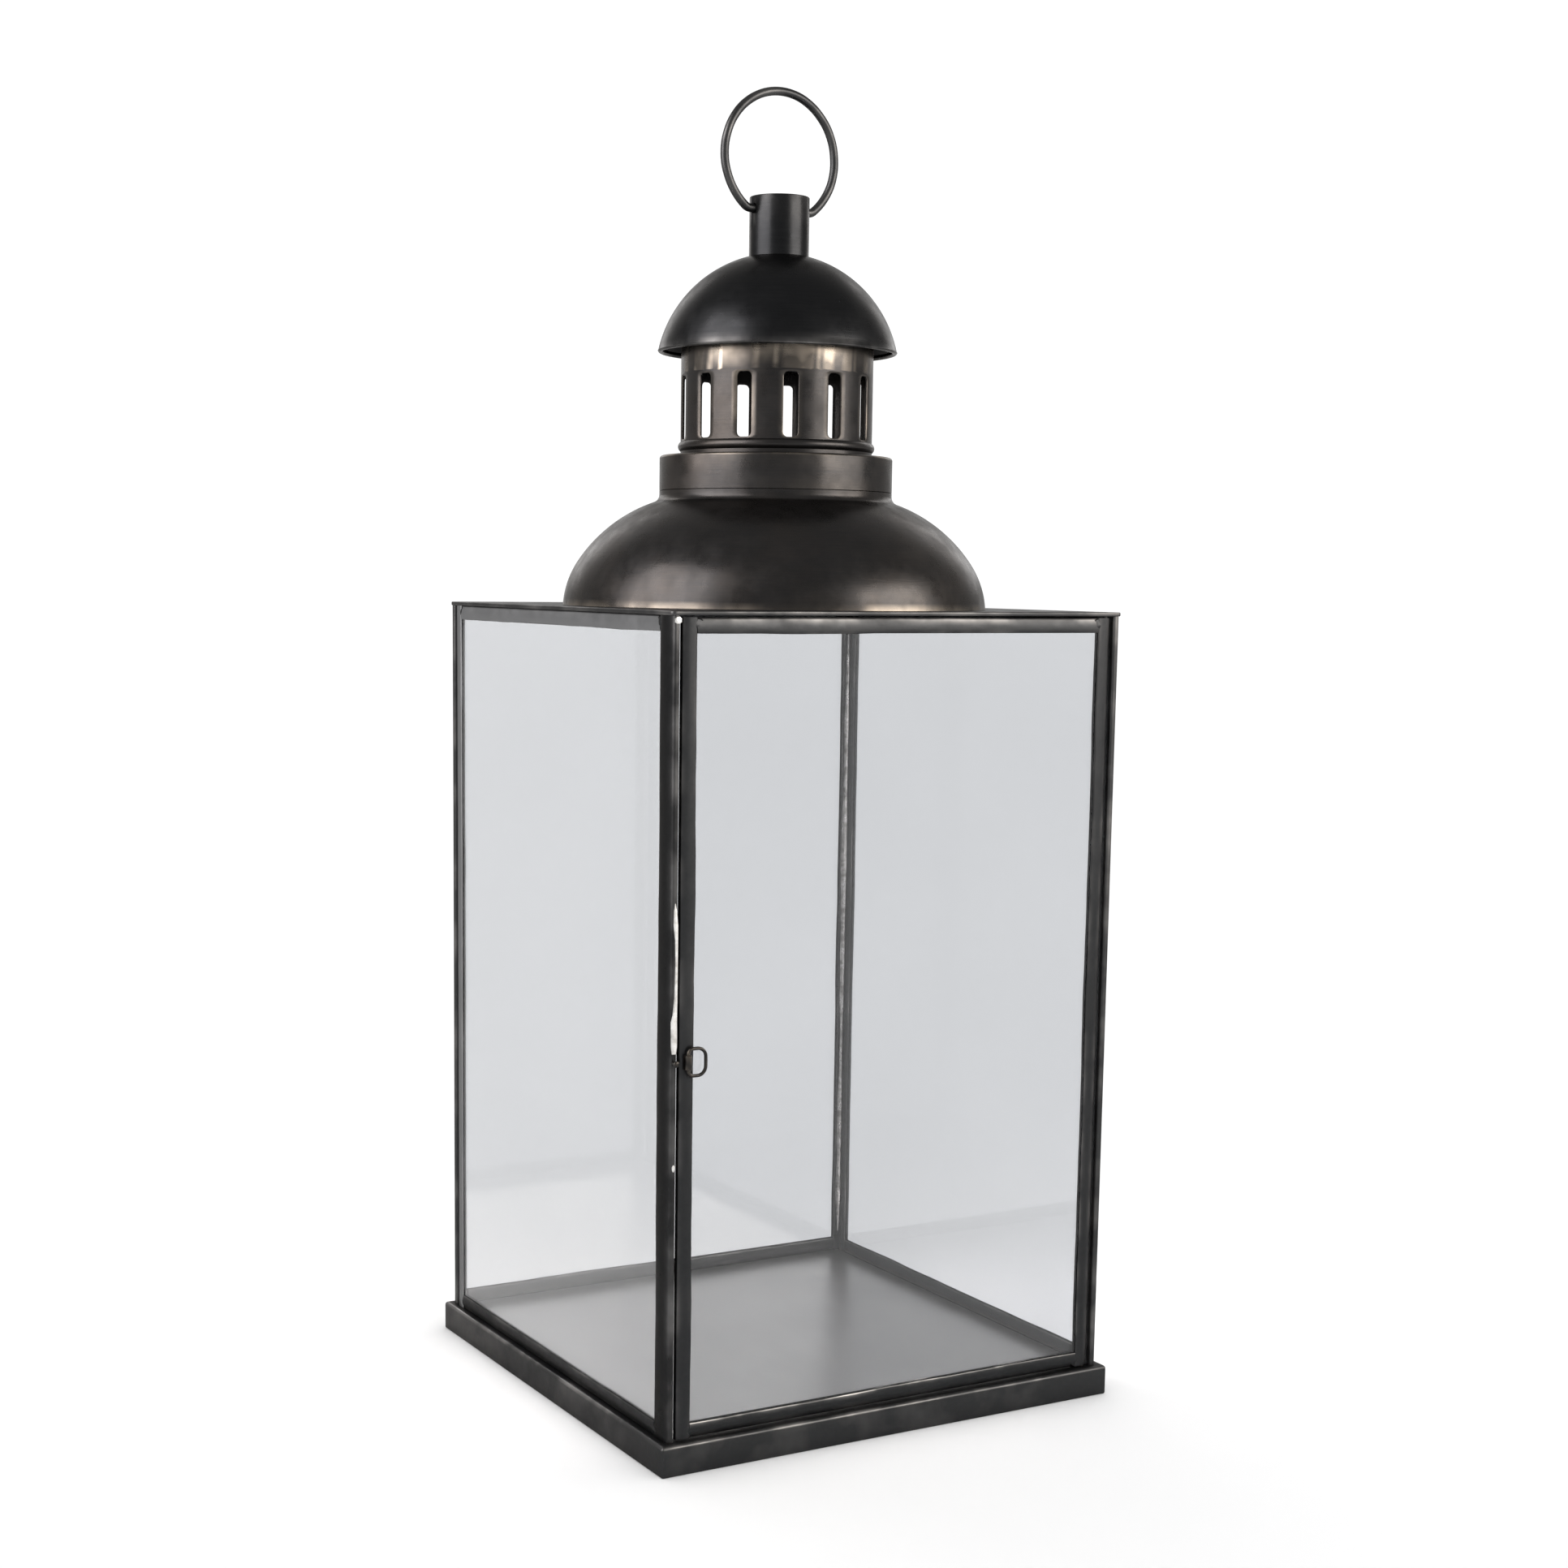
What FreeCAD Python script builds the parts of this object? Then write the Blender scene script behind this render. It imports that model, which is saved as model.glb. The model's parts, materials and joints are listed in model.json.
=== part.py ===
import FreeCAD, Part
import math
import os
import re

import Sketcher

# Candle lantern: a square glass box of framed panes on a low plinth, with a hinged front door, a flat
# roof carrying a spun dome, a slotted vent, a small cap, and a wire ring handle on the neck tube.
# Millimetres. The origin is the centre of the underside, +Z is up and the door faces -Y.

doc = FreeCAD.newDocument("candle_lantern")

# ---------------------------------------------------------------------------------------------
# Driving dimensions
# ---------------------------------------------------------------------------------------------

DIMENSIONS = {
    "box_side": 152.0,              # glass box, outside to outside
    "box_height": 232.3,            # from the top of the plinth to the underside of the roof
    "plinth_height": 9.1,
    "plinth_proud": 2.4,            # ledge of the plinth outside the box
    "plinth_bar": 5.2,              # width of the plinth's bars
    "plinth_round": 0.8,
    "floor_thickness": 1.2,
    "floor_play": 0.1,
    "came_width": 4.4,              # face of the channel strips that edge the panes
    "came_depth": 2.8,              # thickness of those strips, through the panel
    "came_round": 0.5,
    "jamb_width": 7.6,              # wider front strips of the two side panels
    "groove_depth": 2.4,
    "groove_width": 2.0,
    "glass_thickness": 1.8,
    "glass_play": 0.3,
    "corner_gap": 0.3,              # seam between the side panels and the back panel
    "latch_gap": 0.5,               # between door and side panel on the latch side
    "hinge_gap": 0.9,               # the same on the hinge side
    "door_end_gap": 0.5,            # above and below the door
    "rod_radius": 0.7,              # pivot rod of the door
    "rod_setback": 1.1,             # its axis, from the outer edge of the hinge stile
    "rod_fit": 0.05,
    "rod_seat": 4.0,                # length of the rod inside the plinth
    "roof_thickness": 1.2,
    "roof_overhang": 0.3,
    "roof_land": 4.6,               # width of roof left inside the foot of the dome
    "dome_margin": 10.4,            # from the side of the box to the dome's widest circle
    "dome_drop": 2.0,               # centre of the knuckle arc below the roof's top
    "dome_wall": 0.8,
    "knuckle_radius": 28.0,         # tight arc at the foot of the dome
    "knuckle_sweep": 33.9,          # degrees from level to where the crown arc takes over
    "crown_radius": 46.8,
    "throat_radius": 2.5,           # hollow fillet between dome and collar
    "upstand": 1.0,                 # straight lip of the dome above that fillet
    "collar_ledge": 6.4,            # width of the collar's top outside the vent
    "collar_height": 10.8,
    "collar_round": 0.9,
    "vent_radius": 29.5,
    "vent_wall": 0.8,
    "slot_count": 13,
    "slot_width": 4.6,
    "slot_height": 19.1,
    "slot_round": 1.4,
    "slot_sill": 4.7,               # foot of the slots above the collar
    "slot_start": -22.1,            # degrees from the front to the middle of the first slot
    "bead_sill": 1.3,
    "bead_height": 2.9,
    "bead_proud": 0.8,
    "cap_eave": 7.26,               # overhang of the cap outside the vent
    "cap_rise": 31.1,               # rim of the cap above the collar
    "cap_lift": 7.4,                # rim of the cap above the sphere's centre
    "cap_wall": 0.8,
    "hem_width": 1.8,
    "hem_height": 1.6,
    "neck_radius": 9.15,
    "neck_wall": 1.0,
    "neck_stand": 17.7,             # top of the neck above its seat in the cap
    "neck_tuck": 3.0,               # length of the neck below that seat
    "ring_radius": 19.3,            # middle line of the handle's large arc
    "ring_wire": 1.3,               # radius of the handle's wire
    "ring_bend": 3.0,
    "ring_shoulder": 1.05,          # straight wire between the neck and the bend
    "ring_grip": 2.6,               # wire end inside the neck, from its outside
    "ring_fit": 0.05,
    "ring_drop": 3.8,               # axis of the handle below the neck's top
    "latch_height": 118.5,
    "latch_inset": 2.1,             # axis of the loop from the edge of the door
    "latch_clear": 0.1,             # between the loop's outer bar and the stud's head, when hooked
    "latch_span": 7.7,              # middle line of the loop, top to bottom
    "latch_corner": 1.6,
    "latch_wire": 0.5,
    "latch_fit": 0.05,
    "sleeve_radius": 1.1,
    "sleeve_length": 4.2,
    "sleeve_stand": 1.15,           # axis of the sleeve in front of the door
    "stud_radius": 0.6,
    "stud_head_radius": 0.9,
    "stud_height": 2.2,
    "stud_head_height": 0.6,
}

sizes = doc.addObject("Spreadsheet::Sheet", "sizes")
for row, (alias, amount) in enumerate(DIMENSIONS.items(), start=1):
    sizes.set(f"A{row}", alias)
    sizes.set(f"B{row}", str(amount))
    sizes.setAlias(f"B{row}", alias)
doc.recompute()

# Levels and places that several pieces share, as expressions of the dimensions.
HALF_BOX = "box_side / 2"
HALF_PLINTH = "(box_side / 2 + plinth_proud)"
ROOF_UNDER = "(plinth_height + box_height)"
ROOF_TOP = "(plinth_height + box_height + roof_thickness)"
PANEL_MIDDLE = f"({HALF_BOX} - came_depth / 2)"
DOOR_START = f"(came_depth + latch_gap - {HALF_BOX})"
DOOR_END = f"({HALF_BOX} - came_depth - hinge_gap)"
ROD_X = f"({DOOR_END} - rod_setback)"


def bound(expression):
    """Write an expression of plain size names as one that reads the spreadsheet."""
    def with_sheet(word):
        return f"sizes.{word[0]}" if word[0] in DIMENSIONS else word[0]
    return re.sub(r"[a-z_]+", with_sheet, expression)


def value(expression):
    return float(sizes.evalExpression(bound(expression)))


# ---------------------------------------------------------------------------------------------
# Sketches and features
# ---------------------------------------------------------------------------------------------

pieces = []


def piece(item, label):
    item.Label = label
    pieces.append(item)
    return item


def place(item, x="0", y="0", z="0", yaw=0.0, pitch=0.0, roll=0.0):
    item.Placement = FreeCAD.Placement(FreeCAD.Vector(), FreeCAD.Rotation(yaw, pitch, roll))
    for axis, expression in zip("xyz", (x, y, z)):
        item.setExpression(f"Placement.Base.{axis}", bound(expression))
    return item


def new_body(name):
    return doc.addObject("PartDesign::Body", f"{name}_body")


def new_sketch(body, name, role):
    sketch = body.newObject("Sketcher::SketchObject", name)
    plane = next(item for item in body.Origin.OriginFeatures if item.Role == role)
    sketch.AttachmentSupport = [(plane, "")]
    sketch.MapMode = "FlatFace"
    return sketch


def bind_constraint(sketch, constraint, expression):
    index = sketch.addConstraint(constraint)
    name = f"size_{index}"
    sketch.renameConstraint(index, name)
    sketch.setExpression(f"Constraints.{name}", bound(expression))


def pin_point(sketch, geometry, point, x, y):
    """Hold one end or centre of a sketch's geometry at (x, y), which are expressions."""
    for kind, axis, expression in (("DistanceX", -2, x), ("DistanceY", -1, y)):
        if expression == "0":
            sketch.addConstraint(Sketcher.Constraint("PointOnObject", geometry, point, axis))
        else:
            distance = Sketcher.Constraint(kind, -1, 1, geometry, point, value(expression))
            bind_constraint(sketch, distance, expression)


def arc_between(start, end, radius, turn, long):
    """Arc of a circle from start to end, turning left or right, the short way or the long way."""
    half = (end - start) * 0.5
    rise = math.sqrt(max(radius ** 2 - half.Length ** 2, 0.0))
    left = FreeCAD.Vector(-half.y, half.x, 0).normalize()
    side = 1.0 if (turn == "left") != long else -1.0
    centre = start + half + left * (rise * side)
    first, last = (start, end) if turn == "left" else (end, start)
    angle = [math.atan2(spot.y - centre.y, spot.x - centre.x) for spot in (first, last)]
    circle = Part.Circle(centre, FreeCAD.Vector(0, 0, 1), radius)
    return Part.ArcOfCircle(circle, angle[0], angle[1] if angle[1] > angle[0] else angle[1] + 2 * math.pi)


def draw_outline(sketch, start, steps):
    """Draw straight edges and arcs through points given as expressions, closed if it ends at its start.

    A step is (x, y), or (x, y, radius, turn) for an arc, or (x, y, radius, turn, True) for the long arc.
    """
    spots = [start] + [step[:2] for step in steps]
    closed = spots[-1] == start
    ends = []
    for begin, step in zip(spots, steps):
        first = FreeCAD.Vector(value(begin[0]), value(begin[1]), 0)
        last = FreeCAD.Vector(value(step[0]), value(step[1]), 0)
        if len(step) == 2:
            index = sketch.addGeometry(Part.LineSegment(first, last), False)
            ends.append((index, 1, 2))
            continue
        arc = arc_between(first, last, value(step[2]), step[3], len(step) == 5)
        index = sketch.addGeometry(arc, False)
        bind_constraint(sketch, Sketcher.Constraint("Radius", index, value(step[2])), step[2])
        ends.append((index, 1, 2) if step[3] == "left" else (index, 2, 1))
    for (index, begin, _), spot in zip(ends, spots):
        pin_point(sketch, index, begin, *spot)
    for before, after in zip(ends, ends[1:] + (ends[:1] if closed else [])):
        sketch.addConstraint(Sketcher.Constraint("Coincident", before[0], before[2], after[0], after[1]))
    if not closed:
        pin_point(sketch, ends[-1][0], ends[-1][2], *spots[-1])


def draw_circle(sketch, x, y, radius):
    centre = FreeCAD.Vector(value(x), value(y), 0)
    circle = Part.Circle(centre, FreeCAD.Vector(0, 0, 1), value(radius))
    index = sketch.addGeometry(circle, False)
    pin_point(sketch, index, 3, x, y)
    bind_constraint(sketch, Sketcher.Constraint("Radius", index, value(radius)), radius)


def pad(body, sketch, length):
    feature = body.newObject("PartDesign::Pad", f"{sketch.Name}_pad")
    feature.Profile = sketch
    feature.setExpression("Length", bound(length))
    return feature


def revolve(body, sketch):
    feature = body.newObject("PartDesign::Revolution", f"{sketch.Name}_turn")
    feature.Profile = sketch
    feature.ReferenceAxis = (sketch, ["V_Axis"])
    feature.Angle = 360.0
    return feature


def turned(label, start, steps):
    """A spun or turned piece: its half outline revolved about the lantern's axis."""
    body = new_body(label)
    sketch = new_sketch(body, f"{label}_outline", "XZ_Plane")
    draw_outline(sketch, start, steps)
    revolve(body, sketch)
    return piece(body, label)


def swept(label, start, steps, wire_radius, plane, offset):
    """A bent wire: a circle carried along a path of straight runs and arcs in the XZ plane."""
    body = new_body(label)
    path = new_sketch(body, f"{label}_path", "XZ_Plane")
    draw_outline(path, start, steps)
    section = new_sketch(body, f"{label}_section", plane)
    draw_circle(section, "0", "0", wire_radius)
    section.setExpression("AttachmentOffset.Base.z", bound(offset))
    doc.recompute()
    pipe = body.newObject("PartDesign::AdditivePipe", f"{label}_pipe")
    pipe.Profile = section
    pipe.Spine = path
    return piece(body, label)


def box(name, length, width, height):
    item = doc.addObject("Part::Box", name)
    for key, expression in (("Length", length), ("Width", width), ("Height", height)):
        item.setExpression(key, bound(expression))
    return item


def cylinder(name, radius, height):
    item = doc.addObject("Part::Cylinder", name)
    item.setExpression("Radius", bound(radius))
    item.setExpression("Height", bound(height))
    return item


def combine(kind, name, base, tool):
    item = doc.addObject(f"Part::{kind}", name)
    item.Base = base
    item.Tool = tool
    return item


# ---------------------------------------------------------------------------------------------
# Plinth: four mitred bars with a sheet floor let in between them
# ---------------------------------------------------------------------------------------------

def plinth_bar(label, x, y, yaw, holes=()):
    body = new_body(label)
    sketch = new_sketch(body, f"{label}_outline", "XY_Plane")
    inner_end = f"({HALF_PLINTH} - plinth_bar)"
    start = (f"-{HALF_PLINTH}", "0")
    inner_edge = [(inner_end, "plinth_bar"), (f"-{inner_end}", "plinth_bar")]
    draw_outline(sketch, start, [(HALF_PLINTH, "0"), *inner_edge, start])
    for hole in holes:
        draw_circle(sketch, *hole)
    bar = pad(body, sketch, "plinth_height")
    doc.recompute()
    top = value("plinth_height")
    for index, edge in enumerate(bar.Shape.Edges, start=1):
        ends = [vertex.Point for vertex in edge.Vertexes]
        if len(ends) == 2 and all(abs(end.y) < 1e-6 and abs(end.z - top) < 1e-6 for end in ends):
            fillet = body.newObject("PartDesign::Fillet", f"{label}_round")
            fillet.Base = (bar, [f"Edge{index}"])
            fillet.setExpression("Radius", bound("plinth_round"))
    place(body, x, y, "0", yaw)
    return piece(body, label)


rod_hole = (ROD_X, "(plinth_proud + came_depth / 2)", "(rod_radius + rod_fit)")
plinth_bar("plinth_bar_front", "0", f"-{HALF_PLINTH}", 0, [rod_hole])
plinth_bar("plinth_bar_right", HALF_PLINTH, "0", 90)
plinth_bar("plinth_bar_back", "0", HALF_PLINTH, 180)
plinth_bar("plinth_bar_left", f"-{HALF_PLINTH}", "0", 270)

HALF_FLOOR = f"({HALF_PLINTH} - plinth_bar - floor_play)"
floor = piece(box("floor_sheet", f"2 * {HALF_FLOOR}", f"2 * {HALF_FLOOR}", "floor_thickness"), "floor_plate")
place(floor, f"-{HALF_FLOOR}", f"-{HALF_FLOOR}", "plinth_height - floor_thickness")


# ---------------------------------------------------------------------------------------------
# Framed panes: each edge is a channel strip, the pane stands in the grooves
# ---------------------------------------------------------------------------------------------

def came(label, width, length, spot, yaw, pitch=0.0, bore=None):
    """A channel strip: outer edge at local x = 0, groove towards +x, running along +z."""
    body = new_body(label)
    sketch = new_sketch(body, f"{label}_section", "XY_Plane")
    half = "came_depth / 2"
    groove = "groove_width / 2"
    root = f"({width} - groove_depth)"
    start = ("came_round", f"-{half}")
    draw_outline(sketch, start, [
        (width, f"-{half}"),
        (width, f"-{groove}"),
        (root, f"-{groove}"),
        (root, groove),
        (width, groove),
        (width, half),
        ("came_round", half),
        ("0", f"{half} - came_round", "came_round", "left"),
        ("0", f"came_round - {half}"),
        (*start, "came_round", "left")])
    if bore:
        draw_circle(sketch, *bore)
    pad(body, sketch, length)
    place(body, *spot, yaw, pitch)
    return piece(body, label)


def spot_on(panel, along, out, height):
    """A place on a panel: distance along it, out of its middle plane, and height."""
    x, y = panel["corner"]
    if panel["yaw"] == 0:
        return f"{x} + {along}", f"{y} + {out}", height
    return f"{x} - {out}", f"{y} + {along}", height


def framed_pane(panel, name, start_name, end_name, rod=None):
    length, low, high = panel["length"], panel["low"], panel["high"]
    first, last, yaw = panel["first_width"], panel["last_width"], panel["yaw"]
    rise = f"({high} - {low})"
    came(start_name, first, rise, spot_on(panel, "0", "0", low), yaw)
    came(end_name, last, rise, spot_on(panel, length, "0", low), yaw + 180, bore=rod)
    rail = f"({length} - {first} - {last})"
    bottom_spot = spot_on(panel, f"({length} - {last})", "0", low)
    came(f"{name}_bottom_rail", "came_width", rail, bottom_spot, yaw, -90)
    came(f"{name}_top_rail", "came_width", rail, spot_on(panel, first, "0", high), yaw, 90)
    inset = "(groove_depth - glass_play)"
    across = f"({rail} + 2 * {inset})"
    tall = f"({rise} - 2 * (came_width - {inset}))"
    pane = piece(box(f"{name}_glass", across, "glass_thickness", tall), f"{name}_pane")
    corner = spot_on(panel, f"({first} - {inset})", "(-glass_thickness / 2)", f"{low} + came_width - {inset}")
    place(pane, *corner, yaw)


SIDE = {"length": "(box_side - came_depth - corner_gap)", "low": "plinth_height", "high": ROOF_UNDER,
        "first_width": "jamb_width", "last_width": "came_width", "yaw": 90}
LEFT = {**SIDE, "corner": (f"-{PANEL_MIDDLE}", f"(-{HALF_BOX})")}
RIGHT = {**SIDE, "corner": (PANEL_MIDDLE, f"(-{HALF_BOX})")}
BACK = {"length": "box_side", "low": "plinth_height", "high": ROOF_UNDER,
        "first_width": "came_width", "last_width": "came_width", "yaw": 0,
        "corner": (f"(-{HALF_BOX})", PANEL_MIDDLE)}
DOOR = {"length": f"({DOOR_END} - {DOOR_START})", "low": "(plinth_height + door_end_gap)",
        "high": f"({ROOF_UNDER} - door_end_gap)", "first_width": "came_width", "last_width": "came_width",
        "yaw": 0, "corner": (DOOR_START, f"(-{PANEL_MIDDLE})")}

framed_pane(LEFT, "left", "left_jamb", "left_rear_stile")
framed_pane(RIGHT, "right", "right_jamb", "right_rear_stile")
framed_pane(BACK, "back", "back_left_stile", "back_right_stile")
framed_pane(DOOR, "door", "door_latch_stile", "door_hinge_stile", ("rod_setback", "0", "rod_radius"))


# ---------------------------------------------------------------------------------------------
# Door rod and wire loop latch
# ---------------------------------------------------------------------------------------------

rod = piece(cylinder("rod_wire", "rod_radius", "box_height + rod_seat + roof_thickness"), "door_pivot_rod")
place(rod, ROD_X, f"-{PANEL_MIDDLE}", "plinth_height - rod_seat")

LATCH_X = f"({DOOR_START} + latch_inset)"
LATCH_Y = f"(-{HALF_BOX} - sleeve_stand)"

barrel = cylinder("sleeve_barrel", "sleeve_radius", "sleeve_length")
saddle = box("sleeve_saddle", "2 * sleeve_radius", "sleeve_stand", "sleeve_length")
place(saddle, "-sleeve_radius")
solid_sleeve = combine("Fuse", "sleeve_blank", barrel, saddle)
sleeve_bore = cylinder("sleeve_bore", "latch_wire + latch_fit", "sleeve_length")
sleeve = piece(combine("Cut", "sleeve_bored", solid_sleeve, sleeve_bore), "latch_sleeve")
place(sleeve, LATCH_X, LATCH_Y, "latch_height - sleeve_length / 2")

HALF_SPAN = "latch_span / 2"
STUD_OFFSET = "(latch_inset + latch_gap + came_depth / 2)"
LATCH_REACH = f"({STUD_OFFSET} + stud_head_radius + latch_wire + latch_clear)"
loop = swept("latch_loop", ("0", "0"), [
    ("0", f"latch_corner - {HALF_SPAN}"),
    ("latch_corner", f"-{HALF_SPAN}", "latch_corner", "left"),
    (f"{LATCH_REACH} - latch_corner", f"-{HALF_SPAN}"),
    (LATCH_REACH, f"latch_corner - {HALF_SPAN}", "latch_corner", "left"),
    (LATCH_REACH, f"{HALF_SPAN} - latch_corner"),
    (f"{LATCH_REACH} - latch_corner", HALF_SPAN, "latch_corner", "left"),
    ("latch_corner", HALF_SPAN),
    ("0", f"{HALF_SPAN} - latch_corner", "latch_corner", "left"),
    ("0", "0")], "latch_wire", "XY_Plane", "0")
place(loop, LATCH_X, LATCH_Y, "latch_height")

shank = cylinder("stud_shank", "stud_radius", "stud_height")
head = cylinder("stud_head", "stud_head_radius", "stud_head_height")
place(head, z="stud_height - stud_head_height")
stud = piece(combine("Fuse", "stud_turned", shank, head), "latch_stud")
place(stud, f"-{PANEL_MIDDLE}", f"-{HALF_BOX}", "latch_height", roll=90)


# ---------------------------------------------------------------------------------------------
# Roof plate
# ---------------------------------------------------------------------------------------------

HALF_ROOF = f"({HALF_BOX} + roof_overhang)"
DOME_RADIUS = f"({HALF_BOX} - dome_margin)"
roof = new_body("roof_plate")
roof_outline = new_sketch(roof, "roof_outline", "XY_Plane")
roof_corner = (f"-{HALF_ROOF}", f"-{HALF_ROOF}")
draw_outline(roof_outline, roof_corner, [
    (HALF_ROOF, f"-{HALF_ROOF}"),
    (HALF_ROOF, HALF_ROOF),
    (f"-{HALF_ROOF}", HALF_ROOF),
    roof_corner])
draw_circle(roof_outline, "0", "0", f"{DOME_RADIUS} - roof_land")
draw_circle(roof_outline, ROD_X, f"-{PANEL_MIDDLE}", "(rod_radius + rod_fit)")
pad(roof, roof_outline, "roof_thickness")
place(roof, z=ROOF_UNDER)
piece(roof, "roof_plate")


# ---------------------------------------------------------------------------------------------
# Dome: knuckle arc, crown arc, hollow throat and upstand, all one spun sheet
# ---------------------------------------------------------------------------------------------

COLLAR_RADIUS = "(vent_radius + collar_ledge)"
KNUCKLE_X = f"({DOME_RADIUS} - knuckle_radius)"
KNUCKLE_Z = f"({ROOF_TOP} - dome_drop)"
CROWN_X = f"({KNUCKLE_X} - (crown_radius - knuckle_radius) * cos(knuckle_sweep))"
CROWN_Z = f"({KNUCKLE_Z} - (crown_radius - knuckle_radius) * sin(knuckle_sweep))"
THROAT_X = f"({COLLAR_RADIUS} + throat_radius)"
THROAT_REACH = "(crown_radius + throat_radius)"
THROAT_Z = f"({CROWN_Z} + sqrt({THROAT_REACH}^2 - ({THROAT_X} - {CROWN_X})^2))"
UPSTAND_TOP = f"({THROAT_Z} + upstand)"


def knuckle_point(radius):
    return f"({KNUCKLE_X} + {radius} * cos(knuckle_sweep))", f"({KNUCKLE_Z} + {radius} * sin(knuckle_sweep))"


def foot_point(radius):
    return f"({KNUCKLE_X} + sqrt({radius}^2 - dome_drop^2))", ROOF_TOP


def throat_point(radius):
    return (f"({CROWN_X} + {radius} * ({THROAT_X} - {CROWN_X}) / {THROAT_REACH})",
            f"({CROWN_Z} + {radius} * ({THROAT_Z} - {CROWN_Z}) / {THROAT_REACH})")


knuckle_inner = "(knuckle_radius - dome_wall)"
crown_inner = "(crown_radius - dome_wall)"
throat_outer = "(throat_radius + dome_wall)"
lip_inner = f"({COLLAR_RADIUS} - dome_wall)"
dome_foot = foot_point("knuckle_radius")
turned("dome", dome_foot, [
    (*knuckle_point("knuckle_radius"), "knuckle_radius", "left"),
    (*throat_point("crown_radius"), "crown_radius", "left"),
    (COLLAR_RADIUS, THROAT_Z, "throat_radius", "right"),
    (COLLAR_RADIUS, UPSTAND_TOP),
    (lip_inner, UPSTAND_TOP),
    (lip_inner, THROAT_Z),
    (*throat_point(crown_inner), throat_outer, "left"),
    (*knuckle_point(knuckle_inner), crown_inner, "right"),
    (*foot_point(knuckle_inner), knuckle_inner, "right"),
    dome_foot])


# ---------------------------------------------------------------------------------------------
# Collar, slotted vent and cap
# ---------------------------------------------------------------------------------------------

COLLAR_TOP = f"({UPSTAND_TOP} + collar_height)"
vent_inner = "(vent_radius - vent_wall)"
collar_foot = (COLLAR_RADIUS, UPSTAND_TOP)
turned("collar", collar_foot, [
    (COLLAR_RADIUS, f"{COLLAR_TOP} - collar_round"),
    (f"{COLLAR_RADIUS} - collar_round", COLLAR_TOP, "collar_round", "left"),
    (vent_inner, COLLAR_TOP),
    (vent_inner, f"{COLLAR_TOP} - dome_wall"),
    (lip_inner, f"{COLLAR_TOP} - dome_wall"),
    (lip_inner, UPSTAND_TOP),
    collar_foot])

CAP_RIM = f"({COLLAR_TOP} + cap_rise)"
CAP_CENTRE = f"({CAP_RIM} - cap_lift)"
CAP_EDGE = "(vent_radius + cap_eave)"
CAP_RADIUS = f"sqrt({CAP_EDGE}^2 + cap_lift^2)"
CAP_INNER = f"({CAP_RADIUS} - cap_wall)"


def on_cap_inside(radius):
    return f"({CAP_CENTRE} + sqrt({CAP_INNER}^2 - {radius}^2))"


BEAD_RADIUS = "(((bead_height / 2)^2 + bead_proud^2) / (2 * bead_proud))"
vent_foot = (vent_inner, COLLAR_TOP)
vent = new_body("vent_cylinder")
vent_outline = new_sketch(vent, "vent_outline", "XZ_Plane")
draw_outline(vent_outline, vent_foot, [
    ("vent_radius", COLLAR_TOP),
    ("vent_radius", f"{COLLAR_TOP} + bead_sill"),
    ("vent_radius", f"{COLLAR_TOP} + bead_sill + bead_height", BEAD_RADIUS, "left"),
    ("vent_radius", on_cap_inside("vent_radius")),
    (vent_inner, on_cap_inside(vent_inner)),
    vent_foot])
vent_wall = revolve(vent, vent_outline)
doc.recompute()
whole_wall = vent_wall.Shape.Volume

slot_outline = new_sketch(vent, "slot_outline", "XZ_Plane")
half_slot = "slot_width / 2"
slot_low = f"({COLLAR_TOP} + slot_sill)"
slot_high = f"({COLLAR_TOP} + slot_sill + slot_height)"
slot_start = (f"slot_round - {half_slot}", slot_low)
draw_outline(slot_outline, slot_start, [
    (f"{half_slot} - slot_round", slot_low),
    (half_slot, f"{slot_low} + slot_round", "slot_round", "left"),
    (half_slot, f"{slot_high} - slot_round"),
    (f"{half_slot} - slot_round", slot_high, "slot_round", "left"),
    (f"slot_round - {half_slot}", slot_high),
    (f"-{half_slot}", f"{slot_high} - slot_round", "slot_round", "left"),
    (f"-{half_slot}", f"{slot_low} + slot_round"),
    (*slot_start, "slot_round", "left")])
slot = vent.newObject("PartDesign::Pocket", "slot_cut")
slot.Profile = slot_outline
slot.setExpression("Length", bound("vent_radius + bead_proud"))
slot.Reversed = True
doc.recompute()
assert slot.Shape.Volume < whole_wall, "the slot misses the wall"

slots = vent.newObject("PartDesign::PolarPattern", "slot_pattern")
slots.Originals = [slot]
slots.Axis = (slot_outline, ["V_Axis"])
slots.Angle = 360.0
slots.setExpression("Occurrences", bound("slot_count"))
vent.Tip = slots
place(vent, yaw=value("slot_start"))
piece(vent, "vent_cylinder")


NECK_SEAT = f"({CAP_CENTRE} + sqrt({CAP_RADIUS}^2 - neck_radius^2))"
cap_edge = (CAP_EDGE, CAP_RIM)
hem_inner = f"({CAP_EDGE} - hem_width)"
hem_outer = f"sqrt({CAP_INNER}^2 - (cap_lift + hem_height)^2)"
turned("cap", cap_edge, [
    ("neck_radius", NECK_SEAT, CAP_RADIUS, "left"),
    ("neck_radius", on_cap_inside("neck_radius")),
    (hem_outer, f"{CAP_RIM} + hem_height", CAP_INNER, "right"),
    (hem_inner, f"{CAP_RIM} + hem_height"),
    (hem_inner, CAP_RIM),
    cap_edge])


# ---------------------------------------------------------------------------------------------
# Neck tube and ring handle
# ---------------------------------------------------------------------------------------------

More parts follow.
